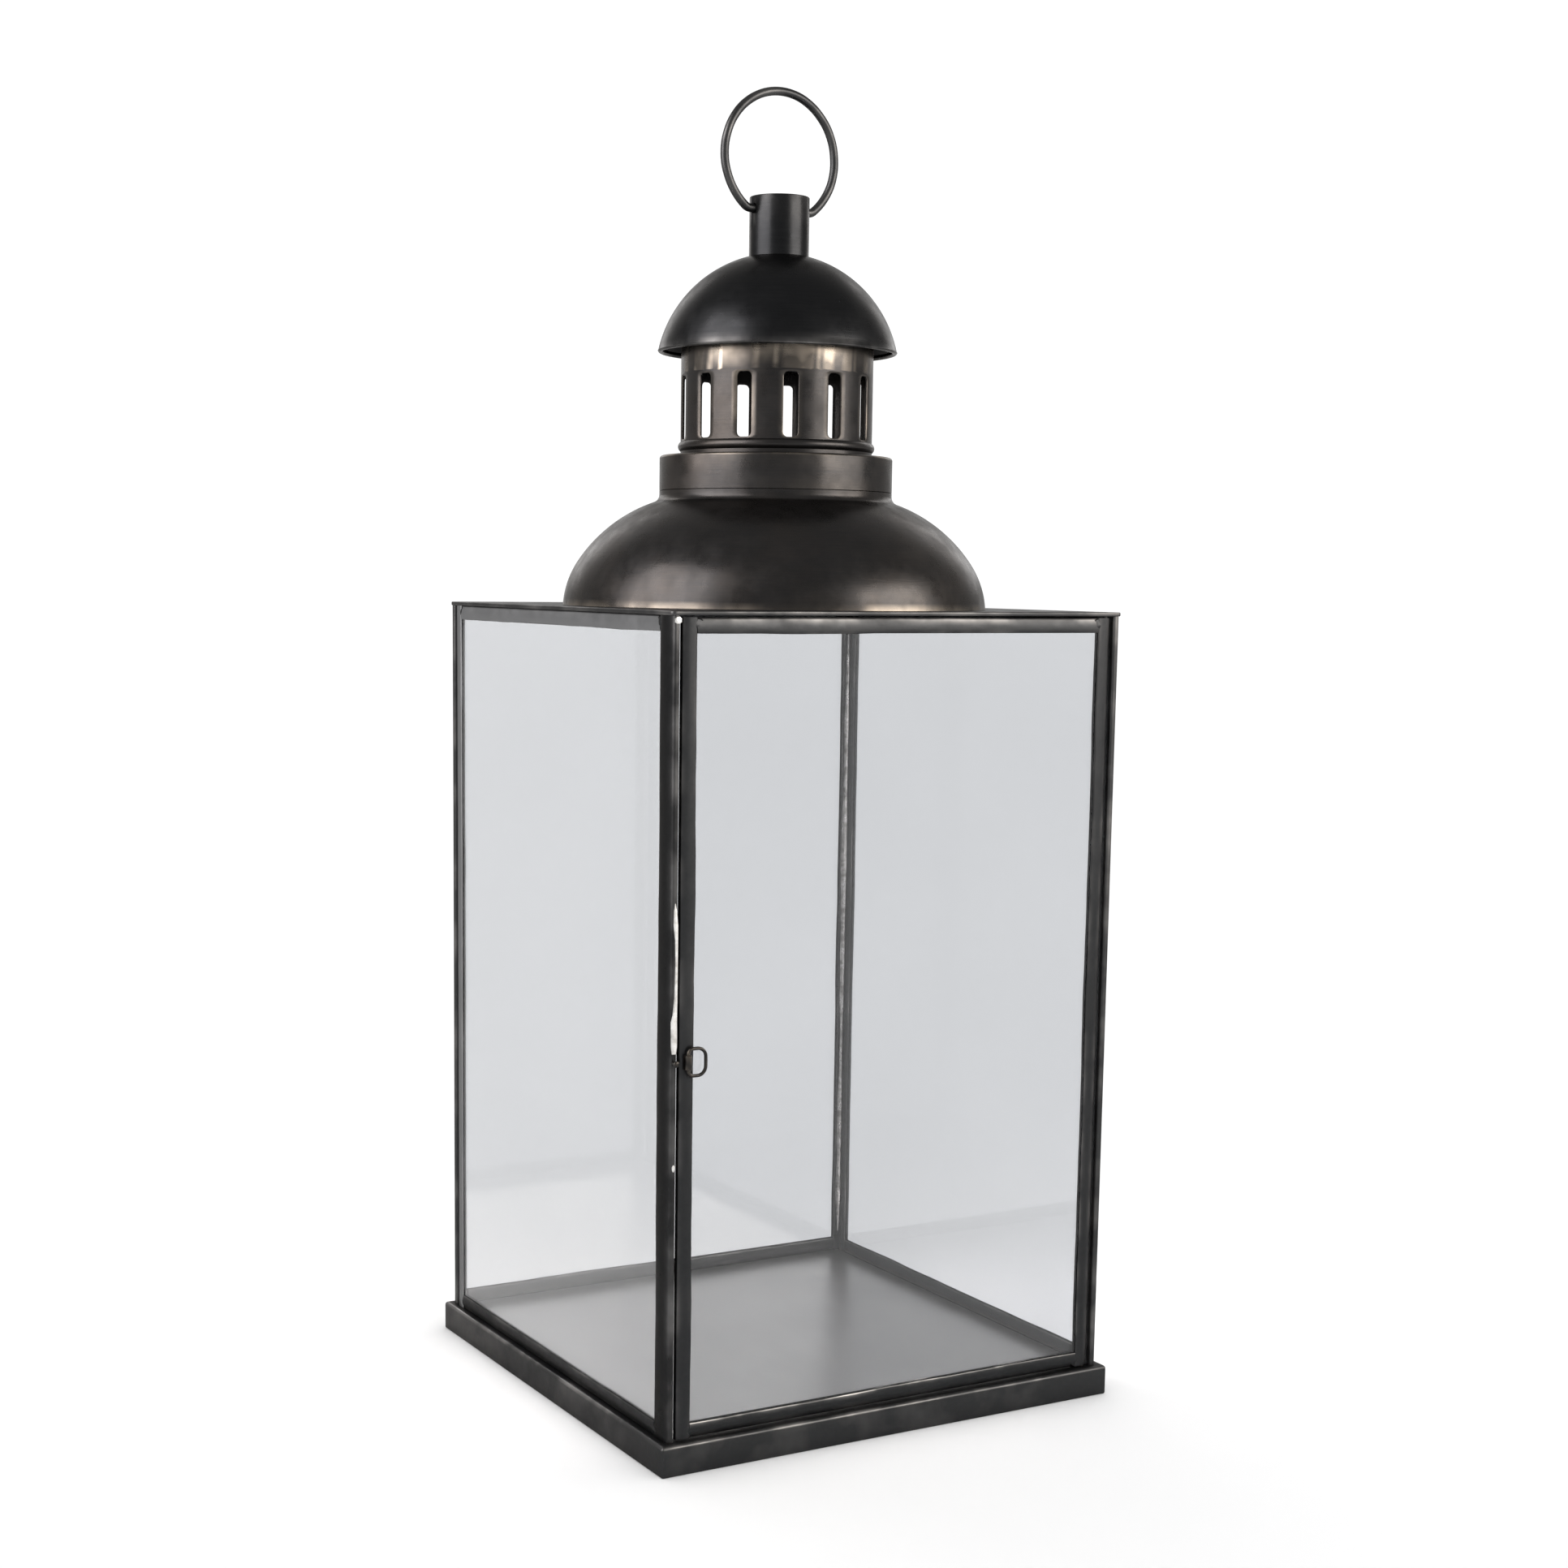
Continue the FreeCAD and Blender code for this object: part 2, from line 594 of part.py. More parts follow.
NECK_TOP = f"({NECK_SEAT} + neck_stand)"
HANDLE_AXIS = f"({NECK_TOP} - ring_drop)"
NECK_LENGTH = "(neck_stand + neck_tuck)"
tube = cylinder("neck_outside", "neck_radius", NECK_LENGTH)
tube_bore = cylinder("neck_inside", "neck_radius - neck_wall", NECK_LENGTH)
open_tube = combine("Cut", "neck_open", tube, tube_bore)
cross_hole = cylinder("neck_cross_hole", "ring_wire + ring_fit", "2 * neck_radius")
place(cross_hole, "-neck_radius", "0", f"{NECK_LENGTH} - ring_drop", pitch=90)
neck = piece(combine("Cut", "neck_drilled", open_tube, cross_hole), "neck_tube")
place(neck, z=f"{NECK_SEAT} - neck_tuck")

PIN_END = "(neck_radius - ring_grip)"
BEND_X = "(neck_radius + ring_shoulder)"
RING_CENTRE = f"(ring_bend + sqrt((ring_radius - ring_bend)^2 - {BEND_X}^2))"
JOIN_X = f"({BEND_X} * ring_radius / (ring_radius - ring_bend))"
JOIN_Z = f"({RING_CENTRE} - ({RING_CENTRE} - ring_bend) * ring_radius / (ring_radius - ring_bend))"
handle = swept("ring_handle", (PIN_END, "0"), [
    (BEND_X, "0"),
    (JOIN_X, JOIN_Z, "ring_bend", "left"),
    (f"-{JOIN_X}", JOIN_Z, "ring_radius", "left", True),
    (f"-{BEND_X}", "0", "ring_bend", "left"),
    (f"-{PIN_END}", "0")], "ring_wire", "YZ_Plane", PIN_END)
place(handle, z=HANDLE_AXIS)


# ---------------------------------------------------------------------------------------------
# Check every object, then write one STEP file for each piece
# ---------------------------------------------------------------------------------------------

doc.recompute()
for item in doc.Objects:
    assert not {"Invalid", "Error"} & set(item.State), f"{item.Name} failed: {item.State}"
os.makedirs("parts", exist_ok=True)
for item in pieces:
    assert not item.Shape.isNull() and item.Shape.isValid(), f"{item.Label} has no valid shape"
    item.Shape.exportStep(f"parts/{item.Label}.step")
    print(f"{item.Label}: {item.Shape.Volume:.1f} mm3, {len(item.Shape.Solids)} solid")
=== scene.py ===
import json
import math
import random

import bmesh
import bpy
from mathutils import Matrix, Vector


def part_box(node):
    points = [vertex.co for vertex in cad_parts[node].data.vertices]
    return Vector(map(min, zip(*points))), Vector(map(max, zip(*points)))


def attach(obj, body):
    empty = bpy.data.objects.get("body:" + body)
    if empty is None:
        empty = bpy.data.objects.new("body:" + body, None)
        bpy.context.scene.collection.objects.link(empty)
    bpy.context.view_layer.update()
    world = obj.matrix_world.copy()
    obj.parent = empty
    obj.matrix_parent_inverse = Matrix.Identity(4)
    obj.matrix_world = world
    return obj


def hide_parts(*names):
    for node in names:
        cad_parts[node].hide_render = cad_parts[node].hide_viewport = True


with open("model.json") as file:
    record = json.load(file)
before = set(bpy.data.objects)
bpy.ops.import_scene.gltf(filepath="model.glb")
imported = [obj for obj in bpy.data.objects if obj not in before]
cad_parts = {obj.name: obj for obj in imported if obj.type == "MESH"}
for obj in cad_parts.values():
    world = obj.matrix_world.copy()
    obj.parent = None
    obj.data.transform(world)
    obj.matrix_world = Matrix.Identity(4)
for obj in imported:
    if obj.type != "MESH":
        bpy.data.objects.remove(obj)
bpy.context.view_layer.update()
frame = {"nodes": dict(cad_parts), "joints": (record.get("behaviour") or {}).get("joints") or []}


# ----------------------------------------------
# Plinth
# Four bars of bronze-finished metal, mitred and soldered at the corners, make the low square foot.
# The top outer edge is rounded over and rubbed bright in places where the lantern is picked up.
# ----------------------------------------------

MM = 0.001
chance = random.Random(7)


def node(material, kind, inputs=None, **settings):
    """Add a shader node. An input may be a number, a colour or another node's output."""
    made = material.node_tree.nodes.new(kind)
    for key, setting in settings.items():
        setattr(made, key, setting)
    for key, source in (inputs or {}).items():
        if isinstance(source, bpy.types.NodeSocket):
            material.node_tree.links.new(source, made.inputs[key])
        else:
            made.inputs[key].default_value = source
    return made


def finish_named(name, colour, metallic, roughness):
    material = bpy.data.materials.new(name)
    material.use_nodes = True
    shader = material.node_tree.nodes["Principled BSDF"]
    shader.inputs["Base Color"].default_value = (*colour, 1.0)
    shader.inputs["Metallic"].default_value = metallic
    shader.inputs["Roughness"].default_value = roughness
    return material, shader


def noise(material, place, scale, detail):
    inputs = {"Vector": place, "Scale": scale, "Detail": detail, "Roughness": 0.55}
    return node(material, "ShaderNodeTexNoise", inputs).outputs["Fac"]


def spread(material, source, low, high, to_low=0.0, to_high=1.0):
    """Stretch the part of a value between low and high over a new range."""
    inputs = {"Value": source, "From Min": low, "From Max": high, "To Min": to_low, "To Max": to_high}
    return node(material, "ShaderNodeMapRange", inputs).outputs["Result"]


def mixed(material, share, first, second):
    mix = node(material, "ShaderNodeMix", data_type="RGBA")
    for index, source in ((0, share), (6, first), (7, second)):
        if isinstance(source, bpy.types.NodeSocket):
            material.node_tree.links.new(source, mix.inputs[index])
        else:
            mix.inputs[index].default_value = (*source, 1.0) if isinstance(source, tuple) else source
    return mix.outputs[2]


def times(material, first, second):
    return node(material, "ShaderNodeMath", {0: first, 1: second}, operation="MULTIPLY").outputs[0]


def roughened(material, shader, height, strength, depth):
    """Let a pattern stand out of the surface as fine relief."""
    bump = node(material, "ShaderNodeBump", {"Height": height, "Strength": strength, "Distance": depth})
    material.node_tree.links.new(bump.outputs["Normal"], shader.inputs["Normal"])


GREY_CLOUD, BROWN_CLOUD = (0.022, 0.022, 0.022), (0.034, 0.022, 0.012)
GREY_BARE, BROWN_BARE = (0.27, 0.265, 0.262), (0.34, 0.285, 0.225)


def bronze(name, stretch, roughness, cloud_share, black, warmth):
    """Blackened bronze: lighter clouds under near-black, cleared to bare metal where an edge is rubbed; the
    same bare metal, turned up along some edges, is a painted highlight.

    stretch draws the brush marks out, cloud_share is how much shows through the black, and warmth
    takes the clouds and the bare metal from grey to brown.
    """
    cloud = tuple(dark + grey + (brown - grey) * warmth
                  for dark, grey, brown in zip(black, GREY_CLOUD, BROWN_CLOUD))
    bare = tuple(grey + (brown - grey) * warmth for grey, brown in zip(GREY_BARE, BROWN_BARE))
    material, shader = finish_named(name, black, 0.92, roughness)
    shader.inputs["Specular Tint"].default_value = (0.55, 0.54, 0.53, 1.0)
    place = node(material, "ShaderNodeTexCoord").outputs["Object"]
    along = node(material, "ShaderNodeMapping", {"Vector": place, "Scale": stretch}).outputs["Vector"]
    clouds = noise(material, place, 26.0, 4.0)
    brush = noise(material, along, 900.0, 2.0)
    pits = noise(material, place, 2600.0, 2.0)
    patches = noise(material, place, 55.0, 3.0)
    cover = spread(material, clouds, 0.62 - cloud_share, 0.84 - cloud_share * 0.4, 0.0, 0.45)
    colour = mixed(material, cover, black, cloud)
    streaks = spread(material, brush, 0.35, 0.75, 0.0, 0.12)
    colour = mixed(material, streaks, colour, cloud)
    edges = node(material, "ShaderNodeAttribute", attribute_name="rub_and_highlight").outputs["Fac"]
    # Bare metal shows where an edge is rubbed; where a strip's wear is turned up, as on the door's upper
    # edges, it is a painted highlight.
    bared_and_highlit = times(material, edges, spread(material, patches, 0.46, 0.70, 0.08, 0.62))
    material.node_tree.links.new(mixed(material, bared_and_highlit, colour, bare), shader.inputs["Base Color"])
    dull = spread(material, noise(material, place, 160.0, 4.0), 0.3, 0.7, roughness - 0.07, roughness + 0.09)
    material.node_tree.links.new(dull, shader.inputs["Roughness"])
    pitted = {0: brush, 1: times(material, pits, 0.6)}
    grain = node(material, "ShaderNodeMath", pitted, operation="ADD").outputs[0]
    roughened(material, shader, grain, 0.22, 0.06 * MM)
    return material


def skin(name, points, faces, material, rub_and_highlight=None, crease=None):
    """A piece from points and faces, turned to look outwards and shaded smooth up to the crease angle.

    The last argument gives, for each point, how much the finish is rubbed there, and where that is turned up,
    a painted highlight.
    """
    mesh = bpy.data.meshes.new(name)
    mesh.from_pydata(points, [], faces)
    if rub_and_highlight:
        mesh.attributes.new("rub_and_highlight", "FLOAT", "POINT").data.foreach_set("value", rub_and_highlight)
    shape = bmesh.new()
    shape.from_mesh(mesh)
    bmesh.ops.recalc_face_normals(shape, faces=shape.faces)
    shape.to_mesh(mesh)
    shape.free()
    mesh.shade_smooth()
    if crease:
        mesh.set_sharp_from_angle(angle=math.radians(crease))
    mesh.materials.append(material)
    piece = bpy.data.objects.new(name, mesh)
    bpy.context.scene.collection.objects.link(piece)
    return piece


CREASE = 38.0                   # degrees; edges sharper than this stay sharp


def solid(name, rings, material, rub_and_highlight=None, looped=False):
    """A closed skin over rings of points, capped at its ends unless the run is a loop.

    The last argument gives, for each point of a ring, how much the finish is rubbed there, and where that is
    turned up, a painted highlight.
    """
    count = len(rings[0])
    points = [point for ring in rings for point in ring]
    faces = []
    for index in range(len(rings) if looped else len(rings) - 1):
        here = index * count
        there = (index + 1) % len(rings) * count
        for side in range(count):
            after = (side + 1) % count
            faces.append((here + side, here + after, there + after, there + side))
    if not looped:
        faces.append(tuple(range(count)))
        faces.append(tuple(range(len(points) - 1, len(points) - 1 - count, -1)))
    return skin(name, points, faces, material, rub_and_highlight and list(rub_and_highlight) * len(rings), CREASE)


def arc(centre, radius, start, end, steps):
    """Points of an arc from one angle to another, in degrees, as (across, up) pairs."""
    turns = [math.radians(start + (end - start) * index / steps) for index in range(steps + 1)]
    return [(centre[0] + radius * math.cos(turn), centre[1] + radius * math.sin(turn)) for turn in turns]


def hand_wave():
    """A gentle unevenness along a strip, as left by hand work: a function of place, within -1 to 1."""
    parts = [(chance.uniform(90, 170), 0.55), (chance.uniform(34, 60), 0.30), (chance.uniform(12, 22), 0.15)]
    starts = [chance.uniform(0, 2 * math.pi) for _ in parts]

    def height(along):
        return sum(share * math.sin(2 * math.pi * along / MM / length + start)
                   for (length, share), start in zip(parts, starts))
    return height


EVEN = (1.0, 1.0, 1.0)
strip_bronze = bronze("strip_bronze", EVEN, 0.36, 0.06, (0.026, 0.0268, 0.028), 0.1)
# A paler copy of the strip bronze: painted reflection on the left panel's rear stile and top rail.
painted_reflection_bronze = bronze("painted_reflection_bronze", EVEN, 0.40, 0.02, (0.145, 0.147, 0.150), 0.0)
# A blacker copy of the strip bronze: painted shade on the left jamb.
painted_shade_bronze = bronze("painted_shade_bronze", EVEN, 0.34, 0.0, (0.010, 0.0104, 0.011), 0.0)

PLINTH_EDGE = 1.1 * MM          # radius of the rounded top edge
PLINTH_FOOT = 0.5 * MM          # the same at the bottom
PLINTH_CORNER = 0.7 * MM        # rounding of the soldered corners, in plan
PLINTH_WAVE = 0.16 * MM         # how far the top edge strays from straight
PLINTH_STEPS = 44               # sections along a bar

plinth_low, plinth_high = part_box("plinth_bar_front")
plinth_half = plinth_high.x
plinth_depth = plinth_high.y - plinth_low.y
plinth_top = plinth_high.z

plinth_outline = [(plinth_depth, 0.0), (plinth_depth, plinth_top)]
plinth_outline += [(PLINTH_EDGE + (plinth_depth - PLINTH_EDGE) * share, plinth_top) for share in (0.6, 0.25)]
plinth_outline += arc((PLINTH_EDGE, plinth_top - PLINTH_EDGE), PLINTH_EDGE, 90, 180, 6)
plinth_outline += arc((PLINTH_FOOT, PLINTH_FOOT), PLINTH_FOOT, 180, 270, 3)
PLINTH_RUB = [0.0] * 4 + [0.5, 0.9, 1.0, 1.0, 0.9, 0.5, 0.25] + [0.2, 0.5, 0.5, 0.1]


def plinth_ring(share, turn, wave):
    """One section of a bar: share runs along its straight part, turn is the degrees round the corner."""
    ring = []
    for depth, up in plinth_outline:
        if depth < PLINTH_CORNER:
            bend = math.radians(turn)
            reach = plinth_half - PLINTH_CORNER
            along = reach * share + math.copysign((PLINTH_CORNER - depth) * math.sin(bend), share)
            inset = PLINTH_CORNER - (PLINTH_CORNER - depth) * math.cos(bend)
        else:
            reach = plinth_half - depth
            along = (reach - PLINTH_CORNER) * share + math.copysign(PLINTH_CORNER * turn / 45, share)
            inset = depth
        shift = PLINTH_WAVE * (1 + wave(along)) * 0.5 * (1 - (along / plinth_half) ** 6)
        if up > PLINTH_EDGE and depth < plinth_depth:
            inset += shift
        ring.append((along, -plinth_half + inset, up))
    return ring


for turn, side in enumerate(("front", "right", "back", "left")):
    wave = hand_wave()
    sections = [(-1.0, 45), (-1.0, 30), (-1.0, 15)]
    sections += [(-1.0 + 2.0 * step / PLINTH_STEPS, 0) for step in range(PLINTH_STEPS + 1)]
    sections += [(1.0, 15), (1.0, 30), (1.0, 45)]
    bar = solid(f"plinth_{side}", [plinth_ring(share, bend, wave) for share, bend in sections],
                strip_bronze, PLINTH_RUB)
    bar.data.transform(Matrix.Rotation(turn * math.pi / 2, 4, "Z"))
    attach(bar, "lantern_body")
    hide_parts(f"plinth_bar_{side}")


# ----------------------------------------------
# Floor sheet
# One square of zinc-coated sheet is let in flush between the plinth bars. It is satin, a little
# cloudy, and not quite flat, so what it mirrors looks soft and slightly bent.
# ----------------------------------------------

def zinc(name):
    """Satin zinc, with faint clouds and the soft lines of the rolling mill."""
    material, shader = finish_named(name, (0.33, 0.326, 0.322), 1.0, 0.3)
    place = node(material, "ShaderNodeTexCoord").outputs["Object"]
    rolling = {"Vector": place, "Scale": (6.0, 0.6, 1.0)}
    lines = noise(material, node(material, "ShaderNodeMapping", rolling).outputs["Vector"], 40.0, 1.0)
    clouds = noise(material, place, 32.0, 4.0)
    tone = mixed(material, spread(material, clouds, 0.3, 0.7), (0.31, 0.306, 0.302), (0.35, 0.346, 0.34))
    tone = mixed(material, spread(material, lines, 0.4, 0.8, 0.0, 0.15), tone, (0.40, 0.394, 0.388))
    material.node_tree.links.new(tone, shader.inputs["Base Color"])
    return material


FLOOR_SAG = 0.25 * MM           # deepest place of the sheet
FLOOR_STEPS = 30                # steps across the sheet, each way
FLOOR_DISHES = ((0.25, 62.0, 0.8), (0.15, 81.0, -0.5))  # share, radians per metre and start, along x and y

floor_low, floor_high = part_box("floor_plate")


def sag(x, y):
    """How far the sheet lies below flush: nothing at its edges, most in two soft dishes."""
    rim = (1 - (x / floor_high.x) ** 4) * (1 - (y / floor_high.y) ** 4)
    dish = 0.6 + sum(share * math.sin(place * rate + start)
                     for place, (share, rate, start) in zip((x, y), FLOOR_DISHES))
    return FLOOR_SAG * rim * dish


floor_rings = []
for step in range(FLOOR_STEPS + 1):
    x = floor_low.x + (floor_high.x - floor_low.x) * step / FLOOR_STEPS
    line = [floor_low.y + (floor_high.y - floor_low.y) * index / FLOOR_STEPS
            for index in range(FLOOR_STEPS + 1)]
    top = [(x, y, floor_high.z - sag(x, y)) for y in line]
    floor_rings.append([(x, floor_high.y, floor_low.z), (x, floor_low.y, floor_low.z)] + top)
floor_sheet = solid("floor_sheet", floor_rings, zinc("zinc_sheet"))
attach(floor_sheet, "lantern_body")
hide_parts("floor_plate")


# ----------------------------------------------
# Side and back panels
# Each pane stands in the grooves of channel strips, folded from thin metal and soldered where they
# meet. The strips are pulled by hand, so their edges waver, and the solder leaves a low pad.
# ----------------------------------------------

OUTER_DROP = 0.55 * MM          # how far the face falls away towards the strip's outer edge
LIP_DROP = 0.14 * MM            # and towards the glass
OUTER_SPAN = 0.6                # share of the width over which the outer side falls
LIP_SPAN = 0.25                 # and the glass side
GROOVE_DEPTH = 2.4 * MM
GROOVE_HALF = 1.0 * MM          # half the groove's width, which is half the glass
EDGE_WAVE = 0.22 * MM           # how far the outer edge, the lips and the face stray by hand
LIP_WAVE = 0.26 * MM
FACE_WAVE = 0.10 * MM
STRIP_STEP = 4.0 * MM           # spacing of sections along a strip

# Across a strip's face, from outer edge to glass: place, rounding of the edge in mm, and how rubbed it
# is from the outer edge and from the lip.
FACE_MARKS = (
    (0.0, 0.32, 0.9, 0.0), (0.012, 0.15, 0.9, 0.0), (0.045, 0.04, 0.7, 0.0), (0.12, 0.0, 0.35, 0.0),
    (0.22, 0.0, 0.15, 0.0), (0.34, 0.0, 0.05, 0.0), (0.48, 0.0, 0.0, 0.0), (0.62, 0.0, 0.0, 0.0),
    (0.75, 0.0, 0.0, 0.05), (0.86, 0.0, 0.0, 0.15), (0.94, 0.0, 0.0, 0.4), (0.985, 0.04, 0.0, 0.6),
    (1.0, 0.12, 0.0, 0.5),
)


def strip_outline(width, depth, wear_and_highlight):
    """Section of a channel strip: one face, the groove, the other face, with how rubbed each point is.

    The last argument scales the rubbing of the outer edge and of the lips; set high, it paints a highlight
    along that edge as well as wear.
    """
    face, rub_and_highlight = [], []
    for share, rounding, edge, lip in FACE_MARKS:
        drop = OUTER_DROP * max(0.0, 1 - share / OUTER_SPAN) ** 2
        drop += LIP_DROP * max(0.0, 1 - (1 - share) / LIP_SPAN) ** 2
        face.append((width * share, depth / 2 - drop - rounding * MM))
        rub_and_highlight.append(edge * wear_and_highlight[0] + lip * wear_and_highlight[1])
    root = width - GROOVE_DEPTH
    groove = [(width, -GROOVE_HALF), (root, -GROOVE_HALF), (root, GROOVE_HALF), (width, GROOVE_HALF)]
    outline = [(across, -out) for across, out in face] + groove + face[::-1]
    return outline, rub_and_highlight + [0.0] * len(groove) + rub_and_highlight[::-1]


def channel(name, node_name, face, inward, material, wear_and_highlight=(1.0, 1.0)):
    """A channel strip the size of its plain node. face looks out of the panel, inward runs to the glass."""
    low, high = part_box(node_name)
    face = Vector(face)
    inward = Vector(inward)
    along = face.cross(inward)
    middle = (low + high) / 2
    size = high - low
    width = abs(size.dot(inward))
    depth = abs(size.dot(face))
    length = abs(size.dot(along))
    outline, rub_and_highlight = strip_outline(width, depth, wear_and_highlight)
    outer, lips, swell = hand_wave(), hand_wave(), hand_wave()
    steps = max(8, round(length / STRIP_STEP))
    rings = []
    for step in range(steps + 1):
        run = length * (step / steps - 0.5)
        calm = 1 - abs(2 * run / length) ** 8
        ring = []
        for across, out in outline:
            share = across / width
            shift, thick = 0.0, 1.0
            if abs(out) > GROOVE_HALF * 1.05:
                shift = EDGE_WAVE * 0.5 * (1 + outer(run)) * (1 - share) + LIP_WAVE * lips(run) * share
                thick = 1 - FACE_WAVE / depth * (1 + swell(run + across * 3)) * calm * 0.5
            spot = middle + along * run + inward * (across - width / 2 + shift * calm) + face * (out * thick)
            ring.append(tuple(spot))
        rings.append(ring)
    return solid(name, rings, material, rub_and_highlight)


PAD_AROUND, PAD_ROWS = 20, 5    # points round a pad, and rows from its rim to its top
PAD_SINK = 0.26 * MM            # how deep a pad's rim sits below the strip's highest line
UP = Vector((0, 0, 1))


def solder_pads(name, spots, face, material):
    """Low irregular pads of solder over the joints of one panel, all on the side that face looks to."""
    face = Vector(face)
    level = UP.cross(face)
    points, faces = [], []
    for spot, reach, height in spots:
        base = len(points)
        top = base + PAD_ROWS * PAD_AROUND
        lumps = [chance.uniform(0.86, 1.14) for _ in range(PAD_AROUND)]
        lumps = [(lumps[index - 1] + lumps[index] * 2 + lumps[(index + 1) % PAD_AROUND]) / 4
                 for index in range(PAD_AROUND)]
        for row in range(PAD_ROWS):
            share = 1 - row / PAD_ROWS
            rise = height * (1 - share ** 2) ** 2
            for index, lump in enumerate(lumps):
                turn = 2 * math.pi * index / PAD_AROUND
                radius = reach * share * lump
                place = Vector(spot) + level * (radius * math.cos(turn)) + UP * (radius * math.sin(turn))
                points.append(tuple(place + face * rise))
        points.append(tuple(Vector(spot) + face * height))
        points.append(tuple(Vector(spot) - face * height * 1.5))
        for row in range(PAD_ROWS):
            first = base + row * PAD_AROUND
            for index in range(PAD_AROUND):
                here, there = first + index, first + (index + 1) % PAD_AROUND
                if row < PAD_ROWS - 1:
                    faces.append((here, there, there + PAD_AROUND, here + PAD_AROUND))
                else:
                    faces.append((here, there, top))
                if row == 0:
                    faces.append((there, here, top + 1))
    return skin(name, points, faces, material)


def joint_spots(stiles, face):
    """Where the rails meet the stiles, on the outside of a panel: the four inner corners of the frame."""
    spots = []
    face = Vector(face)
    for stile, top, bottom, sign in stiles:
        low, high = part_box(stile)
        level = Vector((abs(face.y), abs(face.x), 0))
        side = high.dot(level) if sign > 0 else low.dot(level)
        outside = high.dot(face) if sum(face) > 0 else low.dot(face)
        for rail in (top, bottom):
            rail_low, rail_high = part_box(rail)
            height = (rail_low.z + rail_high.z) / 2
            spot = level * side + face * (abs(outside) - PAD_SINK) + UP * height
            spots.append((tuple(spot), chance.uniform(1.9, 2.3) * MM, chance.uniform(0.26, 0.34) * MM))
    return spots


def solder_metal(name, dull, bright):
    """Bare solder: pale metal with a duller skin in places."""
    material, shader = finish_named(name, bright, 1.0, 0.3)
    place = node(material, "ShaderNodeTexCoord").outputs["Object"]
    film = noise(material, place, 420.0, 3.0)
    tone = mixed(material, spread(material, film, 0.35, 0.65), dull, bright)
    material.node_tree.links.new(tone, shader.inputs["Base Color"])
    material.node_tree.links.new(spread(material, film, 0.3, 0.7, 0.42, 0.24), shader.inputs["Roughness"])
    roughened(material, shader, film, 0.3, 0.1 * MM)
    return material


SOLDER_ROOT = 0.5 * MM          # how deep a run reaches into the strip below it


def solder_run(name, stations, across, out, material):
    """A run of solder up a strip, lying on its face. Each station is its place, half width and height."""
    across, out = Vector(across), Vector(out)
    rings = []
    for spot, half, height in stations:
        ring = [Vector(spot) + across * half * math.cos(turn) + out * height * math.sin(turn)
                for turn in [math.pi * step / 8 for step in range(9)]]
        ring.append(Vector(spot) - out * SOLDER_ROOT)
        rings.append([tuple(point) for point in ring])
    return solid(name, rings, material)


# Solder made near white, so that on the left jamb it paints the glints down the front edge as well as being
# solder.
solder_and_glint = solder_metal("solder_and_glint", (0.45, 0.44, 0.42), (0.82, 0.81, 0.79))
dull_solder = solder_metal("dull_solder", (0.14, 0.135, 0.13), (0.42, 0.41, 0.40))


def clear_glass(name):
    """Cut window glass, faintly cool, its tint drifting a little from place to place."""
    material, shader = finish_named(name, (0.77, 0.78, 0.795), 0.0, 0.0)
    shader.inputs["IOR"].default_value = 1.5
    shader.inputs["Transmission Weight"].default_value = 1.0
    place = node(material, "ShaderNodeTexCoord").outputs["Object"]
    drift = noise(material, place, 7.0, 2.0)
    tone = mixed(material, spread(material, drift, 0.3, 0.7), (0.755, 0.763, 0.777), (0.785, 0.793, 0.807))
    material.node_tree.links.new(tone, shader.inputs["Base Color"])
    return material


glass = clear_glass("window_glass")

# Each panel: where it faces, its first and last stile, the finish of the first stile, and that of the
# last stile and the top rail. On the left panel these finishes are copies of the bronze that paint light: a
# blacker one on the jamb as painted shade, and a paler one on the rear stile and top rail as painted
# reflection.
PANELS = {
    "left": ((-1, 0, 0), "left_jamb", "left_rear_stile", painted_shade_bronze, painted_reflection_bronze),
    "right": ((1, 0, 0), "right_jamb", "right_rear_stile", strip_bronze, strip_bronze),
    "back": ((0, 1, 0), "back_left_stile", "back_right_stile", strip_bronze, strip_bronze),
}
FIRST_WEAR = (0.6, 0.6)

for panel, (face, first, last, first_finish, finish) in PANELS.items():
    level = (abs(face[1]), abs(face[0]), 0)
    back = tuple(-amount for amount in level)
    pieces = [
        channel(f"{first}_strip", first, face, level, first_finish, FIRST_WEAR),
        channel(f"{last}_strip", last, face, back, finish),
        channel(f"{panel}_bottom_strip", f"{panel}_bottom_rail", face, (0, 0, 1), strip_bronze),
        channel(f"{panel}_top_strip", f"{panel}_top_rail", face, (0, 0, -1), finish),
    ]
    for piece, node_name in zip(pieces, (first, last, f"{panel}_bottom_rail", f"{panel}_top_rail")):
        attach(piece, "lantern_body")
        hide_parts(node_name)
    rails = (f"{panel}_top_rail", f"{panel}_bottom_rail")
    spots = joint_spots([(first, *rails, 1), (last, *rails, -1)], face)
    pads = solder_pads(f"{panel}_solder", spots, face, strip_bronze)
    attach(pads, "lantern_body")
    pane = frame["nodes"][f"{panel}_pane"]
    pane.material_slots[0].material = glass
    pane.visible_shadow = False


